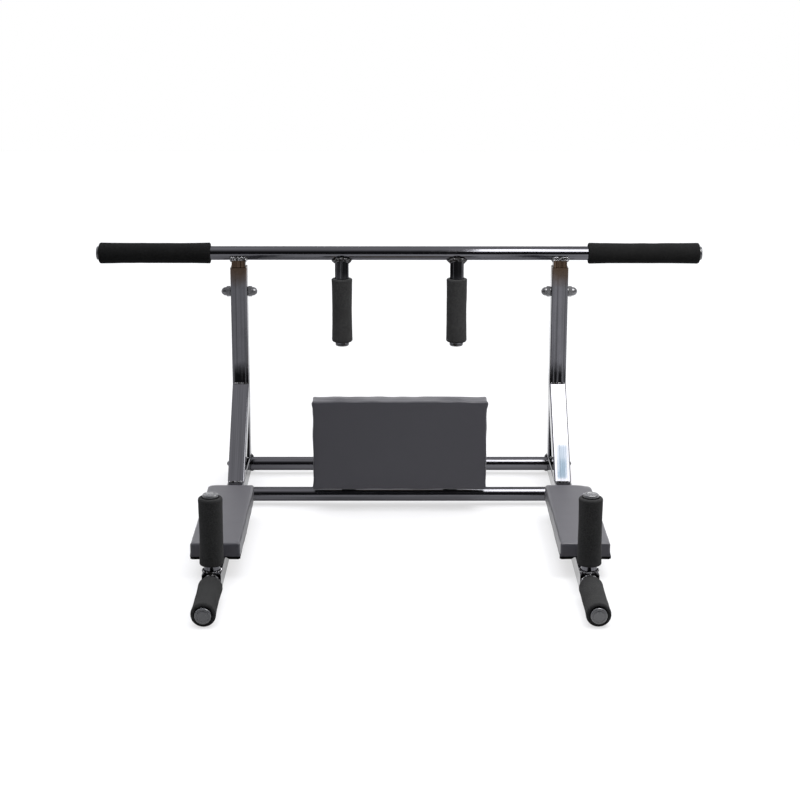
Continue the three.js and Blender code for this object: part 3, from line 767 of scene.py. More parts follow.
# %% [markdown]
# ## Square tube
#
# Posts, arms and braces are 30 mm square tube with rounded corners. A cube is stretched to the
# tube's size, its four long edges are bevelled, its ends are deleted, and Solidify gives the wall.
# The round corners matter here more than anywhere: each one draws a thin line of light down the
# dark tube, which a sharp corner can't do.

# %% Make the square tubes
ALIGNED = 0.9
SHARP = math.radians(50)
SQUARE_WALL = 2.0 * MM
THIN_WALL = 1.5 * MM
SQUARE_CORNER = 2.5 * MM
STUB_CORNER = 1.5 * MM
CORNER_STEPS = 5
HOLE_SIDES = 32
HOLE_CLEARANCE = 0.6 * MM


def add_box(size, place=(0, 0, 0)):
    """A box with its size baked in."""
    clear()
    bpy.ops.mesh.primitive_cube_add(size=1, location=place)
    bpy.context.object.scale = size
    return bake_place(bpy.context.object)


def square_shell(size, corner, place=(0, 0, 0), axis=2):
    """An open-ended square tube without a wall yet, along one axis."""
    shell = add_box(size, place)
    long_way = Vector([float(i == axis) for i in range(3)])

    def runs_along(edge):
        span = edge.verts[1].co - edge.verts[0].co
        return abs(span.normalized().dot(long_way)) > ALIGNED

    choose(shell, "EDGE", runs_along)
    bpy.ops.mesh.bevel(offset=corner, segments=CORNER_STEPS, affect="EDGES")
    choose(shell, "FACE", lambda face: abs(face.normal.dot(long_way)) > ALIGNED)
    bpy.ops.mesh.delete(type="FACE")
    clear()
    return shell


def wall_up(shell, wall):
    """Gives a shell its wall, inwards, and breaks the sawn edges."""
    modify(shell, "SOLIDIFY", thickness=wall, offset=-1, use_even_offset=True)
    return modify(shell, "BEVEL", width=SAWN_EDGE, segments=2, limit_method="ANGLE", angle_limit=SHARP)


def square_tube(node, axis, wall, corner=SQUARE_CORNER):
    """A square tube with the frame piece's place and size."""
    return wall_up(square_shell(size_of(node), corner, centre_of(node), axis), wall)


def drill(piece, place, axis, diameter, length):
    """A round hole through a piece."""
    return carve(piece, add_cylinder(diameter / 2, length, place, axis, HOLE_SIDES))


rod_hole = size_of("post_rod_right").z + HOLE_CLEARANCE
for side in SIDES:
    rod = centre_of(f"post_rod_{side}")
    node = f"post_{side}"
    post = drill(square_tube(node, 2, SQUARE_WALL), rod, 0, rod_hole, 2 * size_of(node).x)
    finish_node(post, node, chrome["upright"], "dark_chrome")
    node = f"bar_stub_{side}"
    stub = drill(square_tube(node, 2, THIN_WALL, STUB_CORNER), rod, 0, rod_hole, 2 * size_of(node).x)
    cope(stub, (rod.x, *bar_axis.yz), 4 * tube_radius)
    finish_node(stub, node, chrome["burnt"], "dark_chrome")
print("posts and stubs:", [tuple(round(v, 4) for v in size_of(f"post_{side}")) for side in SIDES])

# %% Drill the arms
TIE_HOLE = 8.6 * MM
SCREW_HOLE = 6.6 * MM
for side in SIDES:
    node = f"arm_tube_{side}"
    arm = square_tube(node, 1, SQUARE_WALL)
    reach = 2 * size_of(node).x
    for end in ("rear", "front"):
        hole = centre_of(f"{end}_tie_bolt_{side}")
        drill(arm, (centre_of(node).x, hole.y, hole.z), 0, TIE_HOLE, reach)
        screw = centre_of(f"arm_pad_bolt_{side}_{end}")
        drill(arm, (screw.x, screw.y, centre_of(node).z), 2, SCREW_HOLE, reach)
    finish_node(arm, node, chrome["forward"], "dark_chrome")
print("arms drilled, 4 holes each")

# %% [markdown]
# The brace is the same tube, laid on its slant and mitred at both ends. Its outer face runs from
# corner to corner of the frame piece's side view, so the slant and the middle line follow from that
# box. Bisect then trims it flush with the post's face and the arm's top, before it gets its wall.

# %% Mitre the braces
def brace(side):
    """A slanted tube between the post's front face and the arm's top face."""
    low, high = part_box(f"brace_{side}")
    run = Vector((0, high.y - low.y, high.z - low.z))
    inward = Vector((0, run.z, -run.y)).normalized()
    across = high.x - low.x
    middle = (low + high) / 2 + inward * across / 2
    tube = square_shell((across, across, run.length + 2 * across), SQUARE_CORNER)
    tube.rotation_euler.x = -math.atan2(run.y, run.z)
    tube.location = middle
    bake_place(tube)
    for point, normal in [(high, (0, 1, 0)), (low, (0, 0, -1))]:
        choose(tube, "FACE", lambda face: True)
        bpy.ops.mesh.bisect(plane_co=point, plane_no=normal, clear_outer=True)
    clear()
    return wall_up(tube, SQUARE_WALL)


for side in SIDES:
    node = f"brace_{side}"
    finish_node(brace(side), node, chrome["slanted"], "dark_chrome")

# %% [markdown]
# Two shorter square tubes carry the back pad. They stand on the front cross tube, each with a cap on
# top and a cope below. The front wall ends in a notch just above the cross tube, which leaves room
# for the weld and keeps the uprights out of sight behind the pad. The cap is the open top, filled.

# %% Stand the pad uprights
UPRIGHT_CORNER = 2.0 * MM
NOTCH_DEPTH = 8 * MM
NOTCH_TOP = 7 * MM
cross_axis = centre_of("front_cross_tube")
for side in SIDES:
    node = f"pad_upright_{side}"
    size = size_of(node)
    middle = centre_of(node)
    low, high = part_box(node)
    tube = square_shell(size, UPRIGHT_CORNER, middle)
    choose(tube, "EDGE", lambda edge: edge.is_boundary and edge.verts[0].co.z > high.z - MM)
    bpy.ops.mesh.fill()
    clear()
    cope(wall_up(tube, THIN_WALL), (middle.x, *cross_axis.yz), 2 * size.x)
    notch_size = (2 * size.x, 2 * NOTCH_DEPTH, 2 * (NOTCH_TOP + tube_radius))
    carve(tube, add_box(notch_size, (middle.x, low.y, cross_axis.z)))
    screw = centre_of(f"back_pad_bolt_{side}")
    drill(tube, (screw.x, middle.y, screw.z), 1, SCREW_HOLE, 2 * size.y)
    finish_node(tube, node, chrome["upright"], "dark_chrome")
print("pad uprights stand", round(size.z, 4), "high")

# %% [markdown]
# ## Weld beads
#
# A weld is a row of drops, each laid over the last. A modelled bead needs its ripples to be real
# shapes, because the light breaks up on them. A curve does this well: it runs along the joint, its
# bevel gives it a round section, and the radius of its points rises and falls once per drop.

# %% Lay a weld bead
DROP_PITCH = 1.9 * MM
POINT_PITCH = 0.42 * MM
DROP_LOW = 0.68
DROP_RISE = 0.42
DROP_SIZES = (0.8, 1.15)
BAR_FLANK = 0.45
RING_STEPS = 48
dice = random.Random(7)


def walk(route, closed):
    """Points along a route of corners, about one point pitch apart."""
    corners = list(route) + ([route[0]] if closed else [])
    points = []
    for start, end in zip(corners, corners[1:]):
        steps = max(1, round((end - start).length / POINT_PITCH))
        points += [start.lerp(end, i / steps) for i in range(steps)]
    return points if closed else points + [corners[-1]]


def weld_bead(name, route, radius, closed=True):
    """A rippled bead of weld metal along a route of points."""
    points = walk(route, closed)
    line = bpy.data.curves.new(name, "CURVE")
    line.dimensions = "3D"
    line.bevel_depth = 1.0
    line.bevel_resolution = 2
    line.use_fill_caps = True
    spline = line.splines.new("POLY")
    spline.points.add(len(points) - 1)
    spline.use_cyclic_u = closed
    lumps = [dice.uniform(*DROP_SIZES) for point in points]
    for i, point in enumerate(points):
        drop = i * POINT_PITCH / DROP_PITCH
        ripple = DROP_LOW + DROP_RISE * abs(math.sin(math.pi * drop))
        spline.points[i].co = (*point, 1)
        spline.points[i].radius = radius * ripple * lumps[int(drop)]
    bead = bpy.data.objects.new(name, line)
    bpy.context.collection.objects.link(bead)
    activate(bead)
    bpy.ops.object.convert(target="MESH")
    return bpy.context.object


def level(x, y):
    """The lift of a ring that lies level."""
    return 0


def ring(centre, radius, lift):
    """Points round a circle, each raised or lowered by lift(x, y)."""
    points = []
    for i in range(RING_STEPS):
        angle = 2 * math.pi * i / RING_STEPS
        x = radius * math.cos(angle)
        y = radius * math.sin(angle)
        points.append(Vector((centre.x + x, centre.y + y, centre.z + lift(x, y))))
    return points


def drop_of_bar(y, radius):
    """How far the bar's underside lies below its axis at a distance y beside it, down to its flanks."""
    return -math.sqrt(max(radius ** 2 - y ** 2, (BAR_FLANK * radius) ** 2))


print("bead pitch", DROP_PITCH)

# %% [markdown]
# Each joint on the bar gets three beads: the toe on the bar, the root in the corner, and the low one
# on the piece below. A table gives each bead's distance outside the joint, its distance below the
# bar and its radius, all in millimetres. The share in the first table says how closely a bead
# follows the bar's curve.

# %% Weld the hanging handles and the necks to the bar
HANGING_BEADS = (("toe", 4.4, 0.62, 0.0, 1.8), ("root", 2.2, 0.8, 1.6, 2.6), ("low", 0.6, 1.0, 4.6, 1.7))
NECK_BEADS = (("toe", 2.2, 0.6, 1.7), ("root", 1.1, 2.2, 2.1), ("low", 1.2, 4.0, 1.5))
NECK_FLATTENED = 0.9
NECK_CORNER = 3 * MM
NECK_STEPS = 6


def square_ring(centre, half, corner):
    """Points round a level square with rounded corners."""
    points = []
    for quarter in range(4):
        start = quarter * math.pi / 2
        cx = (half - corner) * (1 if quarter in (0, 3) else -1)
        cy = (half - corner) * (1 if quarter in (0, 1) else -1)
        for i in range(NECK_STEPS + 1):
            angle = start + math.pi / 2 * i / NECK_STEPS
            x = cx + corner * math.cos(angle)
            y = cy + corner * math.sin(angle)
            points.append(Vector((centre.x + x, centre.y + y, centre.z)))
    return points


def join(pieces):
    """Joins pieces into the first one."""
    activate(pieces[0])
    for piece in pieces[1:]:
        piece.select_set(True)
    bpy.ops.object.join()
    return bpy.context.object


def finish_weld(beads, name, metal):
    """Joins beads and finishes them as one weld."""
    finish(join(beads), name, metal, "dark_chrome", smooth=60, flat=False)


for side in SIDES:
    axis_point = Vector((centre_of(f"hanging_handle_{side}").x, *bar_axis.yz))
    beads = []
    for name, out, follow, off, radius in HANGING_BEADS:
        line = ring(
            axis_point, tube_radius + out * MM, lambda x, y: drop_of_bar(follow * y, tube_radius + off * MM)
        )
        beads.append(weld_bead(name, line, radius * MM))
    finish_weld(beads, f"hanging_weld_{side}", dull_weld)
    stub = f"bar_stub_{side}"
    axis_point = Vector((centre_of(stub).x, *bar_axis.yz))
    beads = []
    for name, out, off, radius in NECK_BEADS:
        line = square_ring(axis_point, size_of(stub).x / 2 + out * MM, NECK_CORNER)
        for point in line:
            point.y = axis_point.y + NECK_FLATTENED * (point.y - axis_point.y)
            point.z += drop_of_bar(point.y - axis_point.y, tube_radius + off * MM)
        beads.append(weld_bead(name, line, radius * MM))
    finish_weld(beads, f"neck_weld_{side}", weld_metal)
print("bar welds done")

# %% Weld the handles, braces and posts to the arms
SEAM_BEAD = 0.8 * MM
FILLET_BEAD = 1.2 * MM
HANDLE_BEAD = 2.1 * MM
HANDLE_OUT = 1.2 * MM
NOSE_OUT = 0.4 * MM
WALL_INSET = 0.9 * MM

for side in SIDES:
    upright = centre_of(f"upright_handle_{side}")
    circle = ring(Vector((*upright.xy, arm_top + MM)), tube_radius + HANDLE_OUT, level)
    base = weld_bead("base", circle, HANDLE_BEAD)
    arm = centre_of(f"arm_tube_{side}")
    circle = ring(Vector((arm.x, 0, 0)), tube_radius + NOSE_OUT, level)
    nose = [Vector((point.x, arm_nose - NOSE_OUT, arm.z + point.y)) for point in circle]
    finish_weld([base, weld_bead("tip", nose, HANDLE_BEAD)], f"handle_weld_{side}", weld_metal)

    low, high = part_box(f"brace_{side}")
    x = (low.x + high.x) / 2
    across = high.x - low.x
    half = across / 2 - SQUARE_CORNER
    post_low, post_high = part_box(f"post_{side}")
    run = Vector((0, high.y - low.y, high.z - low.z))
    under_top = high.z - across * run.length / run.y
    under_front = low.y + across * run.length / run.z
    crosswise = {
        "knee": (high.y - 0.5 * MM, high.z + 0.7 * MM),
        "foot": (low.y - 0.7 * MM, arm_top + 0.5 * MM),
        "under_knee": (high.y - 0.5 * MM, under_top - 0.7 * MM),
        "under_foot": (under_front + 0.7 * MM, arm_top + MM),
        "post_front": (post_low.y - 0.5 * MM, arm_top + 0.6 * MM),
    }
    weld_seams_and_painted_lines = []
    for name, place in crosswise.items():
        line = [Vector((x - half, *place)), Vector((x + half, *place))]
        weld_seams_and_painted_lines.append(weld_bead(name, line, FILLET_BEAD, False))
    inset = SQUARE_CORNER
    lengthwise = {
        "post_side": ((post_low.y + inset, arm_top), (post_high.y - inset, arm_top)),
        "foot_side": ((low.y + inset, arm_top), (under_front - inset, arm_top)),
        "knee_side": ((high.y, high.z - inset), (high.y, under_top + inset)),
    }
    for way in (-1, 1):
        wall_x = x + way * (across / 2 - WALL_INSET)
        for name, ends in lengthwise.items():
            line = [Vector((wall_x, *end)) for end in ends]
            weld_seams_and_painted_lines.append(weld_bead(name, line, SEAM_BEAD, False))
    finish_weld(weld_seams_and_painted_lines, f"frame_weld_{side}", weld_metal)
print("frame welds done")

# %% [markdown]
# ## Turned pieces
#
# Foam grips, plugs, nuts and bolt heads are all bodies of revolution. Each starts as half of its
# section, drawn as a line of points beside the axis, and Spin sweeps that line round. The seam and
# the poles are merged afterwards, and the normals are set to point out.

# %% Spin a section
MERGE_BELOW = 0.01 * MM


def arc(radius, height, size, start, end, steps=6):
    """Points on an arc of a section, with its middle at (radius, height), angles in degrees."""
    points = []
    for i in range(steps + 1):
        angle = math.radians(start + (end - start) * i / steps)
        points.append((radius + size * math.cos(angle), height + size * math.sin(angle)))
    return points


def spun(section, steps=64):
    """A body of revolution round Z from a section of (radius, height) points."""
    mesh = bpy.data.meshes.new("section")
    edges = [(i, i + 1) for i in range(len(section) - 1)]
    mesh.from_pydata([(radius, 0, height) for radius, height in section], edges, [])
    piece = bpy.data.objects.new("section", mesh)
    bpy.context.collection.objects.link(piece)
    activate(piece)
    bpy.ops.object.mode_set(mode="EDIT")
    bpy.ops.mesh.select_all(action="SELECT")
    bpy.ops.mesh.spin(steps=steps, angle=2 * math.pi, center=(0, 0, 0), axis=(0, 0, 1))
    bpy.ops.mesh.select_all(action="SELECT")
    bpy.ops.mesh.remove_doubles(threshold=MERGE_BELOW)
    bpy.ops.mesh.normals_make_consistent(inside=False)
    clear()
    return piece


def lay(piece, place, way):
    """Turns a piece's own Z towards a direction and puts its origin at a place."""
    piece.rotation_mode = "QUATERNION"
    piece.rotation_quaternion = Vector(way).to_track_quat("Z", "Y")
    piece.location = place
    return bake_place(piece)


def fit_copies(master, places, material, slot, smooth=30):
    """Lays a copy of a master at the place and direction given for each frame piece."""
    for node, (place, way) in places.items():
        finish_node(lay(copy_of(master), place, way), node, material, slot, smooth=smooth)
    bpy.data.objects.remove(master)
    print(len(places), "copies:", *places)


print("helpers: arc, spun, lay, fit_copies")

# %% [markdown]
# ## Foam grips
#
# Each grip is a sleeve of soft foam, pushed over its tube. Its ends spread a little where they were
# cut, its middle is drawn in, and handling leaves shallow dents. The section gives the ends and the
# waist, and a Displace modifier with a cloud texture gives the dents. Each sleeve gets other dents,
# because the cloud is read at the sleeve's own place.

# %% Push on the foam grips
FOAM_WAIST = 0.75 * MM
FOAM_SKIN = 0.25 * MM
FOAM_DENTS = 0.9 * MM
OUTER_ROUND = 4.2 * MM
INNER_ROUND = 2.4 * MM
FOAM_LIP = 2.4 * MM
MOUTH_DIP = 0.8 * MM
MOUTH_SHARE = 0.4
WAIST_POWER = 0.7
RINGS = 30
BORE_GAP = 0.05 * MM
DENT_SIZE = 0.035

clouds = bpy.data.textures.new("dents", "CLOUDS")
clouds.noise_scale = DENT_SIZE
clouds.noise_depth = 1


def foam_grip(length, radius, bore):
    """A sleeve from z = 0 up, whose upper end is the free one."""
    section = [(bore, 0)]
    section += arc(radius - INNER_ROUND, INNER_ROUND, INNER_ROUND, -90, 0)
    body = length - OUTER_ROUND - INNER_ROUND
    for i in range(1, RINGS):
        share = i / RINGS
        waist = FOAM_WAIST * math.sin(math.pi * share) ** WAIST_POWER
        section.append((radius - waist, INNER_ROUND + share * body))
    section += arc(radius - OUTER_ROUND, length - OUTER_ROUND, OUTER_ROUND, 0, 90)
    section.append((bore + MOUTH_SHARE * (radius - OUTER_ROUND - bore), length - MOUTH_DIP))
    section.append((bore, length - FOAM_LIP))
    section.append((bore, 0))
    return spun(section)


def grip_way(name):
    """A grip's axis (0, 1 or 2) and the direction from its foam to its plug."""
    step = centre_of(f"{name}_plug") - centre_of(f"{name}_foam")
    axis = max(range(3), key=lambda i: abs(step[i]))
    return axis, Vector([math.copysign(1, step[i]) * (i == axis) for i in range(3)])


GRIPS = [f"{kind}_grip_{side}" for kind in ("bar", "hanging", "upright", "forward") for side in SIDES]
for name in GRIPS:
    node = f"{name}_foam"
    axis, way = grip_way(name)
    size = size_of(node)
    length = size[axis]
    sleeve = foam_grip(length, size[(axis + 1) % 3] / 2 - FOAM_SKIN, tube_radius + BORE_GAP)
    lay(sleeve, centre_of(node) - way * length / 2, way)
    modify(
        sleeve, "DISPLACE", texture=clouds, texture_coords="GLOBAL", strength=FOAM_DENTS, mid_level=0.5
    )
    kind = name.split("_")[0]
    finish_node(sleeve, node, foam[kind], "black_foam", smooth=50, flat=False)
print("foam grips:", len(GRIPS))

# %% [markdown]
# ## End plugs
#
# A plug is a moulded cap with a shank that grips inside the tube. Its face is slightly domed inside
# a shallow ring. The plug is modelled once and copied to the eight tube ends, each copy with a mesh
# of its own.

# %% Fit the end plugs
def end_plug(radius, thickness, gap, shank, depth):
    """A cap on z = gap with its shank below."""
    soft = 2.2 * MM
    groove = radius - 3.6 * MM
    top = gap + thickness
    section = [(0, -depth), (shank - MM, -depth), (shank, -depth + MM), (shank, gap)]
    section += [(radius - 0.4 * MM, gap), (radius, gap + 0.4 * MM)]
    section += arc(radius - soft, top - soft - 0.3 * MM, soft, 0, 90, 7)
    section += [
        (groove + 0.5 * MM, top - 0.3 * MM),
        (groove, top - 0.75 * MM),
        (groove - 0.5 * MM, top - 0.75 * MM),
        (groove - MM, top - 0.35 * MM),
        (groove * 0.5, top - 0.1 * MM),
        (0, top),
    ]
    return spun(section)


PLUG_HEAD = 4.5 * MM
PLUG_GAP = 0.3 * MM
PLUG_DEPTH = 14 * MM
PLUG_SHANK = tube_radius - ROUND_WALL - 0.2 * MM
places = {}
for name in GRIPS:
    node = f"{name}_plug"
    axis, way = grip_way(name)
    head = centre_of(node) + way * size_of(node)[axis] / 2
    places[node] = (head - way * (PLUG_HEAD + PLUG_GAP), way)
plug = end_plug(tube_radius, PLUG_HEAD, PLUG_GAP, PLUG_SHANK, PLUG_DEPTH)
fit_copies(plug, places, grey_plug, "grey_plug", smooth=40)
print("end plugs:", len(GRIPS))

# %% [markdown]
# ## Domed nuts and bolts
#
# Domed nuts close both ends of the rod through each post, and bolts with the same heads hold the
# cross tubes. A head is three shapes in one: a hexagon whose corners are turned off, a dome, and a
# thin flange. The hexagon is cut by a spun barrel, and then joined to the spun dome and flange.

# %% Make the domed heads
WASHER = 1.6 * MM
DOME_SHARE = 0.94
DOME_STEPS = 8


def domed_head(across, hex_height, height, flange, shank_diameter=0.0, shank_length=0.0):
    """A domed hexagon head on z = 0, with a shank below if it has one."""
    corner = across / math.sqrt(3)
    turned_off = corner - across / 2
    hexagon = add_cylinder(corner, hex_height - WASHER, (0, 0, (hex_height + WASHER) / 2), sides=6)
    bake_place(hexagon)
    barrel = spun([
        (0, 0),
        (corner, 0),
        (corner, hex_height - 0.7 * turned_off),
        (across / 2 - 0.1 * MM, hex_height + 0.01 * MM),
        (0, hex_height + 0.01 * MM),
    ], 48)
    carve(hexagon, barrel, "INTERSECT")
    dome = DOME_SHARE * across / 2
    skirt = hex_height + 0.6 * MM
    rise = height - skirt
    section = [(0, -shank_length), (shank_diameter / 2, -shank_length), (shank_diameter / 2, 0)]
    if shank_length == 0:
        section = [(0, 0)]
    section += [(flange / 2 - 0.3 * MM, 0), (flange / 2, 0.3 * MM), (flange / 2, WASHER - 0.5 * MM)]
    section += [(flange / 2 - 0.8 * MM, WASHER), (dome, WASHER), (dome, skirt)]
    for i in range(1, DOME_STEPS + 1):
        angle = math.pi / 2 * i / DOME_STEPS
        section.append((dome * math.cos(angle) if i < DOME_STEPS else 0, skirt + rise * math.sin(angle)))
    return carve(hexagon, spun(section, 48), "UNION")


def outwards_from(node, x):
    """The direction along X from a place to a piece."""
    return Vector((math.copysign(1, centre_of(node).x - x), 0, 0))


NUT_ACROSS = 17 * MM
NUT_HEX = 8 * MM
NUT_FLANGE = 18 * MM
nut_height = size_of("post_nut_right_outer").x
places = {}
for side in SIDES:
    for face in ("outer", "inner"):
        node = f"post_nut_{side}_{face}"
        way = outwards_from(node, centre_of(f"post_{side}").x)
        places[node] = (centre_of(node) - way * nut_height / 2, way)
nut = domed_head(NUT_ACROSS, NUT_HEX, nut_height, NUT_FLANGE)
fit_copies(nut, places, bolt_steel, "bolt_steel")

BOLT_ACROSS = 13 * MM
BOLT_HEX = 5.5 * MM
BOLT_HEAD = 15 * MM
BOLT_FLANGE = 14 * MM
BOLT_SHANK = 8 * MM
bolt_length = size_of("rear_tie_bolt_right").x
places = {}
for side in SIDES:
    for end in ("rear", "front"):
        node = f"{end}_tie_bolt_{side}"
        way = outwards_from(node, 0)
        tip = centre_of(node) + way * bolt_length / 2
        places[node] = (tip - way * BOLT_HEAD, way)
bolt = domed_head(BOLT_ACROSS, BOLT_HEX, BOLT_HEAD, BOLT_FLANGE, BOLT_SHANK, bolt_length - BOLT_HEAD)
fit_copies(bolt, places, bolt_steel, "bolt_steel")
for side in SIDES:
    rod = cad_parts[f"post_rod_{side}"]
    rod.data.materials.clear()
    rod.data.materials.append(bolt_steel)
print("domed nuts and bolts: 8, rods: 2")

# %% [markdown]
# ## Pad bolts
#
# The pads are held from behind by low round-headed bolts with a hexagon socket. Only the heads show,
# under the arms and on the back pad's uprights. The socket is carved with a six-sided tool.

# %% Turn the pad bolts
SCREW_HEAD = 10.5 * MM
SCREW_HEAD_HEIGHT = 3.2 * MM
SCREW_SHANK = 6 * MM
SCREW_RIM = 0.3 * MM
SCREW_EDGE = math.radians(80)
SOCKET_ACROSS = 4 * MM
SOCKET_DEPTH = 4 * MM
EDGE_STEPS = 6


def pad_bolt(length):
    """A bolt whose head stands on z = 0, with the shank below."""
    shank = length - SCREW_HEAD_HEIGHT
    radius = SCREW_SHANK / 2
    section = [(0, -shank), (radius - 0.5 * MM, -shank), (radius, -shank + 0.5 * MM), (radius, 0)]
    section += [(SCREW_HEAD / 2 - 0.2 * MM, 0), (SCREW_HEAD / 2, SCREW_RIM)]
    for i in range(1, EDGE_STEPS + 1):
        angle = SCREW_EDGE * i / EDGE_STEPS
        rise = (SCREW_HEAD_HEIGHT - SCREW_RIM) * math.sin(angle) / math.sin(SCREW_EDGE)
        section.append((SCREW_HEAD / 2 * math.cos(angle), SCREW_RIM + rise))
    section.append((0, SCREW_HEAD_HEIGHT))
    bolt = spun(section, 40)
    socket_place = (0, 0, SCREW_HEAD_HEIGHT)
    return carve(bolt, add_cylinder(SOCKET_ACROSS / math.sqrt(3), SOCKET_DEPTH, socket_place, sides=6))


places = {}
for side in SIDES:
    for end in ("rear", "front"):
        node = f"arm_pad_bolt_{side}_{end}"
        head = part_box(node)[0].z + SCREW_HEAD_HEIGHT
        places[node] = ((*centre_of(node).xy, head), (0, 0, -1))
fit_copies(pad_bolt(size_of("arm_pad_bolt_right_rear").z), places, bolt_steel, "bolt_steel")
places = {}
for side in SIDES:
    node = f"back_pad_bolt_{side}"
    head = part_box(node)[1].y - SCREW_HEAD_HEIGHT
    places[node] = ((centre_of(node).x, head, centre_of(node).z), (0, 1, 0))
fit_copies(pad_bolt(size_of("back_pad_bolt_right").y), places, bolt_steel, "bolt_steel")
print("pad bolts: 6")

# %% [markdown]
# ## Foot plugs
#
# The rear ends of the arms stand on black square plugs. A cube takes the flange's size, its corners
# are rounded, and its rear face is inset and pressed in a little so that it reads as a moulding.
# The front face is inset and extruded to make the shank inside the arm.

# %% Mould the foot plugs
FLANGE_DEPTH = 5 * MM
FLANGE_CORNER = 3 * MM
TOP_CORNER = 9 * MM
SHANK_SIDE = 25.4 * MM
FACE_BORDER = 4.5 * MM
FACE_STEP = 0.8 * MM
FACE_EDGE = 1.1 * MM
for side in SIDES:
    node = f"foot_plug_{side}"
    low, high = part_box(node)
    size = high - low
    middle_x = centre_of(node).x
    flange_place = (middle_x, high.y - FLANGE_DEPTH / 2, size.z / 2)
    flange = add_box((size.x, FLANGE_DEPTH, size.z), flange_place)

    choose(flange, "FACE", lambda face: face.normal.y < -ALIGNED)
    bpy.ops.mesh.inset(thickness=(size.x - SHANK_SIDE) / 2)
    axis_height = centre_of(f"arm_tube_{side}").z
    bpy.ops.transform.translate(value=(0, 0, axis_height - size.z / 2))
    bpy.ops.transform.resize(
        value=(1, 1, SHANK_SIDE / (size.z - size.x + SHANK_SIDE)),
        center_override=(middle_x, high.y - FLANGE_DEPTH, axis_height),
    )
    inwards = {"value": (0, FLANGE_DEPTH - size.y, 0)}
    bpy.ops.mesh.extrude_region_move(TRANSFORM_OT_translate=inwards)
    choose(flange, "FACE", lambda face: face.normal.y > ALIGNED)
    bpy.ops.mesh.inset(thickness=FACE_BORDER)
    bpy.ops.transform.translate(value=(0, -FACE_STEP, 0))
    bpy.ops.mesh.inset(thickness=FACE_STEP)

    def corner_edge(edge, upper):
        ends = [v.co for v in edge.verts]
        along = (ends[1] - ends[0]).normalized()
        outer = abs(ends[0].x - middle_x) > size.x / 2 - MM
        return abs(along.y) > ALIGNED and outer and (ends[0].z > size.z / 2) == upper

    for upper, corner in ((True, TOP_CORNER), (False, FLANGE_CORNER)):
        choose(flange, "EDGE", lambda edge: corner_edge(edge, upper))
        bpy.ops.mesh.bevel(offset=corner, segments=6, affect="EDGES")
    clear()
    limit = math.radians(60)
    modify(flange, "BEVEL", width=FACE_EDGE, segments=3, limit_method="ANGLE", angle_limit=limit)
    finish_node(flange, node, black_plug, "black_plug", smooth=40)
print("foot plugs:", [tuple(round(v, 4) for v in size_of(f"foot_plug_{side}")) for side in SIDES])

# %% [markdown]
# ## Pads
#
# A pad is a block of firm foam on a plywood board, with vinyl pulled over both and stapled behind.
# The foam pushes out against the vinyl, so the faces crown, the edges round over and the sides draw
# in between the corners. Cloth simulation gives that shape: a block's skin is cut into small squares,
# held fast at the board and blown up a little, and how far a point may travel is limited, because the
# foam is firm. The folds at the corners and the pull of the staples come after it, point by point.

# %% Blow up a pad
PAD_PITCH = 4.5 * MM
PRESSURE = 3.0
FRAMES = 20
PAD_EDGE = 3.0 * MM


def simulate(pad, held):
    """Runs the cloth simulation on a pad and gives where each of its points would end."""
    activate(pad)
    group = pad.vertex_groups.new(name="held")
    group.add([v.index for v in pad.data.vertices if held(v.co)], 1.0, "REPLACE")
    bpy.ops.object.modifier_add(type="CLOTH")
    cloth_sim_and_hem_shade = pad.modifiers[-1]
    cloth_sim_and_hem_shade.settings.quality = 5
    cloth_sim_and_hem_shade.settings.mass = 0.4
    cloth_sim_and_hem_shade.settings.tension_stiffness = 40
    cloth_sim_and_hem_shade.settings.compression_stiffness = 40
    cloth_sim_and_hem_shade.settings.shear_stiffness = 20
    cloth_sim_and_hem_shade.settings.bending_stiffness = 2.0
    cloth_sim_and_hem_shade.settings.use_pressure = True
    cloth_sim_and_hem_shade.settings.uniform_pressure_force = PRESSURE
    cloth_sim_and_hem_shade.settings.vertex_group_mass = group.name
    cloth_sim_and_hem_shade.settings.effector_weights.gravity = 0
    cloth_sim_and_hem_shade.collision_settings.use_collision = False
    scene = bpy.context.scene
    for step in range(1, FRAMES + 1):
        scene.frame_set(step)
    evaluated = pad.evaluated_get(bpy.context.evaluated_depsgraph_get())
    ends = [v.co.copy() for v in evaluated.data.vertices]
    scene.frame_set(1)
    pad.modifiers.remove(cloth_sim_and_hem_shade)
    return ends


def padded_block(low, high, shrink, held, cap):
    """A crowned foam block between two corners. Points that pass held() stay with the board."""
    size = [length - 2 * shrink for length in high - low]
    pad = add_box(size, (low + high) / 2)
    for i in range(3):
        choose(pad, "EDGE", lambda edge: abs(edge.verts[0].co[i] - edge.verts[1].co[i]) > MM)
        bpy.ops.mesh.subdivide(number_cuts=round((high - low)[i] / PAD_PITCH) - 1)
    clear()
    ends = simulate(pad, held)
    for point, end in zip(pad.data.vertices, ends):
        travel = end - point.co
        if travel.length > 0:
            point.co += travel * (cap * math.tanh(travel.length / cap) / travel.length)
    for i in range(3):
        reached = [v.co[i] for v in pad.data.vertices]
        stretch = size[i] / (max(reached) - min(reached))
        for point in pad.data.vertices:
            point.co[i] = low[i] + shrink + (point.co[i] - min(reached)) * stretch
    print("simulated", len(ends), "points, travel limited to", round(cap / MM, 2), "mm")
    modify(pad, "BEVEL", width=PAD_EDGE, segments=3, limit_method="ANGLE", angle_limit=SHARP)
    return modify(pad, "SUBSURF", levels=1, render_levels=1)


def shape_points(pad, move):
    """Moves each point of a pad by what move(place, normal) says."""
    normals = [v.normal.copy() for v in pad.data.vertices]
    for point, normal in zip(pad.data.vertices, normals):
        point.co += move(point.co, normal)
    pad.data.update()


print("pads use", "a simulation")

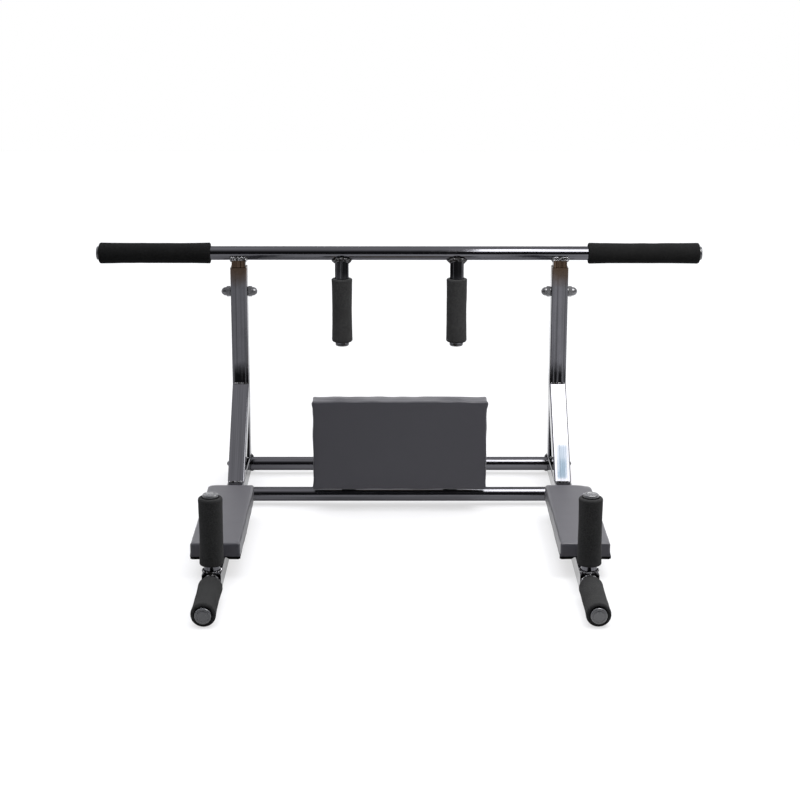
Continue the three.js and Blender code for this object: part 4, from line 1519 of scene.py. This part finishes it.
# %% [markdown]
# The vinyl shows how it was fitted: waves along the outline between the staples, short folds that fan
# out from each corner, and little ears where the surplus is tucked under. Waves come from smooth
# noise that moves the sides but leaves the face flat, the fans from a sine of the angle round the
# corner, and the ears from a short push outwards that fades with distance. A corner may also get a
# radius, seen from above. On the back, a groove runs in from each corner, where two hems meet.

# %% Dress a pad
WAVE_LENGTH = 0.03
FACE_WAVE = 0.15 * MM
FAN_DEPTH = 0.25 * MM
FAN_REACH = 13 * MM
FAN_FOLDS = 7
HEM = 17 * MM
MITRE_DEPTH = 0.6 * MM
MITRE_WIDTH = 1.6 * MM


def pad_plane(low, high, axis, back_way):
    """The two axes of a pad's plane, and where its back lies on the third."""
    a, b = [i for i in range(3) if i != axis]
    return a, b, (high if back_way > 0 else low)[axis]


def rounded_corner(u, v, radius):
    """How far a point moves so that a square corner gets a radius. u and v run inwards from it."""
    from_centre = Vector((radius - u, radius - v))
    if u >= radius or v >= radius or from_centre.length <= radius:
        return Vector((0, 0))
    return from_centre * (1 - radius / from_centre.length)


def dressed(low, high, face_axis, back_way, ears, side_wave, radius_of):
    """The move that fits the vinyl over a pad. back_way is +1 or -1: the board's side of the face."""
    a, b, back = pad_plane(low, high, face_axis, back_way)
    corners = [(x, y) for x in (low[a], high[a]) for y in (low[b], high[b])]
    along = Vector([float(i == face_axis) for i in range(3)])

    def move(place, normal):
        outwards = normal - along * normal.dot(along)
        ripple = noise.noise(place / WAVE_LENGTH)
        step = outwards * ripple * side_wave + normal * ripple * FACE_WAVE
        behind = abs(place[face_axis] - back) < PAD_EDGE
        for x, y in corners:
            u = place[a] - x
            v = place[b] - y
            fan = math.exp(-(u * u + v * v) / FAN_REACH ** 2)
            step += normal * FAN_DEPTH * fan * math.sin(FAN_FOLDS * math.atan2(v, u))
            pulled = rounded_corner(abs(u), abs(v), radius_of(x, y))
            step[a] += math.copysign(pulled.x, u)
            step[b] += math.copysign(pulled.y, v)
            if behind and abs(u) < HEM and abs(v) < HEM:
                off_mitre = (abs(u) - abs(v)) / MITRE_WIDTH
                step -= normal * MITRE_DEPTH * math.exp(-off_mitre ** 2)
        for corner, push, reach in ears:
            step += push * math.exp(-((place - corner).length / reach) ** 2)
        return step

    return move


print("hem", HEM, "wide")

# %% [markdown]
# Behind, the hem is a frame of vinyl round the bare board. The pad is a closed block so far, so a
# shallow pocket with a hand-cut, wavy outline is carved out of its back, and the board's face lies
# in that pocket, just below the hem. Staples hold the hem, about 3 cm apart.

# %% Open the pad's back
HEM_THICKNESS = 0.9 * MM
HEM_FADE = 4.4 * MM
POCKET_DEPTH = 2.2 * MM
POCKET_CUTS = 14
CUT_WAVE = 1.6 * MM
CUT_WAVE_LENGTH = 0.02
STAPLE = (10 * MM, 0.9 * MM, 0.7 * MM)
STAPLE_PITCH = 31 * MM
STAPLE_ROUND = 0.3 * MM
STAPLE_INSET = (0.6, 0.7)
STAPLE_TURN = (-0.15, 0.15)
BOARD_EDGE = 0.8 * MM


def plane_place(axis, u, v, height):
    """A place from two coordinates in a pad's plane and one through it."""
    place = [u, v]
    place.insert(axis, height)
    return Vector(place)


def open_back(pad, low, high, axis, back_way):
    """Carves the pocket that bares the board."""
    a, b, back = pad_plane(low, high, axis, back_way)
    middle = plane_place(axis, (low[a] + high[a]) / 2, (low[b] + high[b]) / 2, back)
    size = plane_place(axis, high[a] - low[a] - 2 * HEM, high[b] - low[b] - 2 * HEM, 2 * POCKET_DEPTH)
    cutter = add_box(size, middle)
    choose(cutter, "EDGE", lambda edge: abs(edge.verts[0].co[axis] - edge.verts[1].co[axis]) < MM)
    bpy.ops.mesh.subdivide(number_cuts=POCKET_CUTS)
    clear()
    for point in cutter.data.vertices:
        sway = noise.noise(plane_place(axis, point.co[a], point.co[b], 0) / CUT_WAVE_LENGTH)
        away = point.co - middle
        away[axis] = 0
        point.co += away.normalized() * CUT_WAVE * sway
    return carve(pad, cutter)


def mark_hem(pad, low, high, axis, back_way):
    """Tells the vinyl where it is turned under, so that it is painted black there as shade."""
    back = pad_plane(low, high, axis, back_way)[2]
    hem = pad.data.attributes.new("hem", "FLOAT", "POINT")
    for point, mark in zip(pad.data.vertices, hem.data):
        inside = max(0, (back - point.co[axis]) * back_way)
        mark.value = max(0, 1 - inside / HEM_FADE)


def staples(name, low, high, axis, back_way):
    """The staples in a pad's hem, as one object."""
    a, b, back = pad_plane(low, high, axis, back_way)
    master = modify(add_box(STAPLE), "BEVEL", width=STAPLE_ROUND, segments=2)
    through = Vector([float(i == axis) for i in range(3)])
    pieces = []
    for along, across in ((a, b), (b, a)):
        length = high[along] - low[along] - 2 * HEM
        count = max(2, round(length / STAPLE_PITCH))
        for i in range(count):
            place = through * back
            place[along] = low[along] + HEM + length * (i + 0.5) / count + dice.uniform(-2, 2) * MM
            for way in (-1, 1):
                edge = high[across] if way > 0 else low[across]
                place[across] = edge - way * HEM * dice.uniform(*STAPLE_INSET)
                run = Vector((0, 0, 0))
                run[along] = 1
                run[across] = dice.uniform(*STAPLE_TURN)
                run.normalize()
                turn = Matrix((run, through.cross(run), through)).transposed()
                staple = copy_of(master)
                staple.matrix_world = Matrix.Translation(place) @ turn.to_4x4()
                pieces.append(bake_place(staple))
    bpy.data.objects.remove(master)
    return finish(join(pieces), name, bolt_steel, "bolt_steel", smooth=40)


def board(node, axis, back_way):
    """The plywood board, whose back face lies just below the hem."""
    low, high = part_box(node)
    face = high if back_way > 0 else low
    face[axis] -= back_way * HEM_THICKNESS
    panel = add_box(high - low, (low + high) / 2)
    modify(panel, "BEVEL", width=BOARD_EDGE, segments=2, limit_method="ANGLE")
    return finish_node(panel, node, plywood, "plywood")


print("staple pitch", STAPLE_PITCH)

# %% Upholster the back pad
BACK_SHRINK = 0.1 * MM
BACK_SWELL = 0.35 * MM
BACK_WAVE = 1.2 * MM
BACK_TOP_CORNER = 5 * MM
BACK_LOW_CORNER = 1.5 * MM
BACK_EAR = 1.9 * MM
BACK_EAR_REACH = 6.5 * MM
BACK_LIFT = 1.2 * MM
BACK_SAG = 2.8 * MM
low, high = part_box("back_pad")
low.z -= BACK_SAG
high.z += BACK_LIFT
middle = (low + high) / 2
held_from = high.y - size_of("back_pad_board").y
back_pad = padded_block(low, high, BACK_SHRINK, lambda place: place.y > held_from, BACK_SWELL)
ears = []
for x in (low.x, high.x):
    way = math.copysign(1, x - middle.x)
    for y, z, push in (
        (low.y + 4 * MM, high.z - 6 * MM, Vector((1.1 * way, 0, 0.1))),
        (low.y + 6 * MM, low.z + 3 * MM, Vector((0.6 * way, 0, -0.2))),
        (high.y - 5 * MM, high.z, Vector((0.5 * way, 0, 0.3))),
    ):
        ears.append((Vector((x, y, z)), push * BACK_EAR, BACK_EAR_REACH))


def back_pad_corner(x, z):
    """The radius of the back pad's corner, seen from the front."""
    return BACK_TOP_CORNER if z > middle.z else BACK_LOW_CORNER


shape_points(back_pad, dressed(low, high, 1, 1, ears, BACK_WAVE, back_pad_corner))
open_back(back_pad, low, high, 1, 1)
mark_hem(back_pad, low, high, 1, 1)
finish(back_pad, "back_pad_cover", vinyl, "grey_vinyl", ["back_pad"], smooth=60, flat=False)
board("back_pad_board", 1, 1)
staples("back_pad_staples", low, high, 1, 1)
print("back pad:", len(back_pad.data.polygons), "faces")

# %% Upholster the forearm pads
ARM_SHRINK = 0.1 * MM
ARM_SWELL = 0.3 * MM
ARM_EARS = {"left": 1.0 * MM, "right": 2.1 * MM}
ARM_EAR_REACH = 4 * MM
ARM_WAVE = 0.5 * MM
ARM_OUTER_CORNER = {"left": 7 * MM, "right": 15 * MM}
ARM_INNER_CORNER = 4 * MM
ARM_FRONT_CORNER = 1.5 * MM
OUTER_DIP = {"left": 2.4 * MM, "right": 3.0 * MM}
INNER_DIP = 0.8 * MM
HEM_HANGS = 3.4 * MM
HEM_ROLL = 5 * MM
TUBE_ROOM = 3 * MM


def arm_pad_corner(x, y):
    """The radius of an arm pad's corner, seen from above."""
    if y < 0:
        return ARM_FRONT_CORNER
    side = "left" if x < 0 else "right"
    return ARM_OUTER_CORNER[side] if abs(x) > arm_x else ARM_INNER_CORNER


def hang_hem(pad, low, high, clear_of):
    """Lets the hem roll hang a little below the board, beside the tube."""
    for point in pad.data.vertices:
        place = point.co
        beside = abs(place.x - (low.x + high.x) / 2) - clear_of
        edge = min(place.x - low.x, high.x - place.x, place.y - low.y, high.y - place.y)
        if place.z < low.z + PAD_EDGE and beside > 0:
            share = min(1, beside / TUBE_ROOM) * math.exp(-(edge / HEM_ROLL) ** 2)
            place.z -= HEM_HANGS * share


arm_x = centre_of("arm_tube_right").x
for side in SIDES:
    node = f"arm_pad_{side}"
    low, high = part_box(node)
    middle = (low + high) / 2
    held_to = low.z + size_of(f"arm_pad_board_{side}").z
    arm_pad = padded_block(low, high, ARM_SHRINK, lambda place: place.z < held_to, ARM_SWELL)
    ears = []
    for x in (low.x, high.x):
        for y in (low.y, high.y):
            push = Vector((math.copysign(1, x - middle.x), math.copysign(0.5, y - middle.y), -0.1))
            ears.append((Vector((x, y, low.z + 3 * MM)), push * ARM_EARS[side], ARM_EAR_REACH))
        dip = OUTER_DIP[side] if abs(x) > arm_x else INNER_DIP
        reach = arm_pad_corner(x, high.y)
        ears.append((Vector((x, high.y, high.z)), Vector((0, 0, -dip)), reach))
    shape_points(arm_pad, dressed(low, high, 2, -1, ears, ARM_WAVE, arm_pad_corner))
    hang_hem(arm_pad, low, high, size_of(f"arm_tube_{side}").x / 2 + TUBE_ROOM)
    open_back(arm_pad, low, high, 2, -1)
    mark_hem(arm_pad, low, high, 2, -1)
    finish(arm_pad, f"{node}_cover", vinyl, "grey_vinyl", [node], smooth=60, flat=False)
    board(f"arm_pad_board_{side}", 2, -1)
    staples(f"{node}_staples", low, high, 2, -1)
print("arm pads:", len(arm_pad.data.polygons), "faces each")
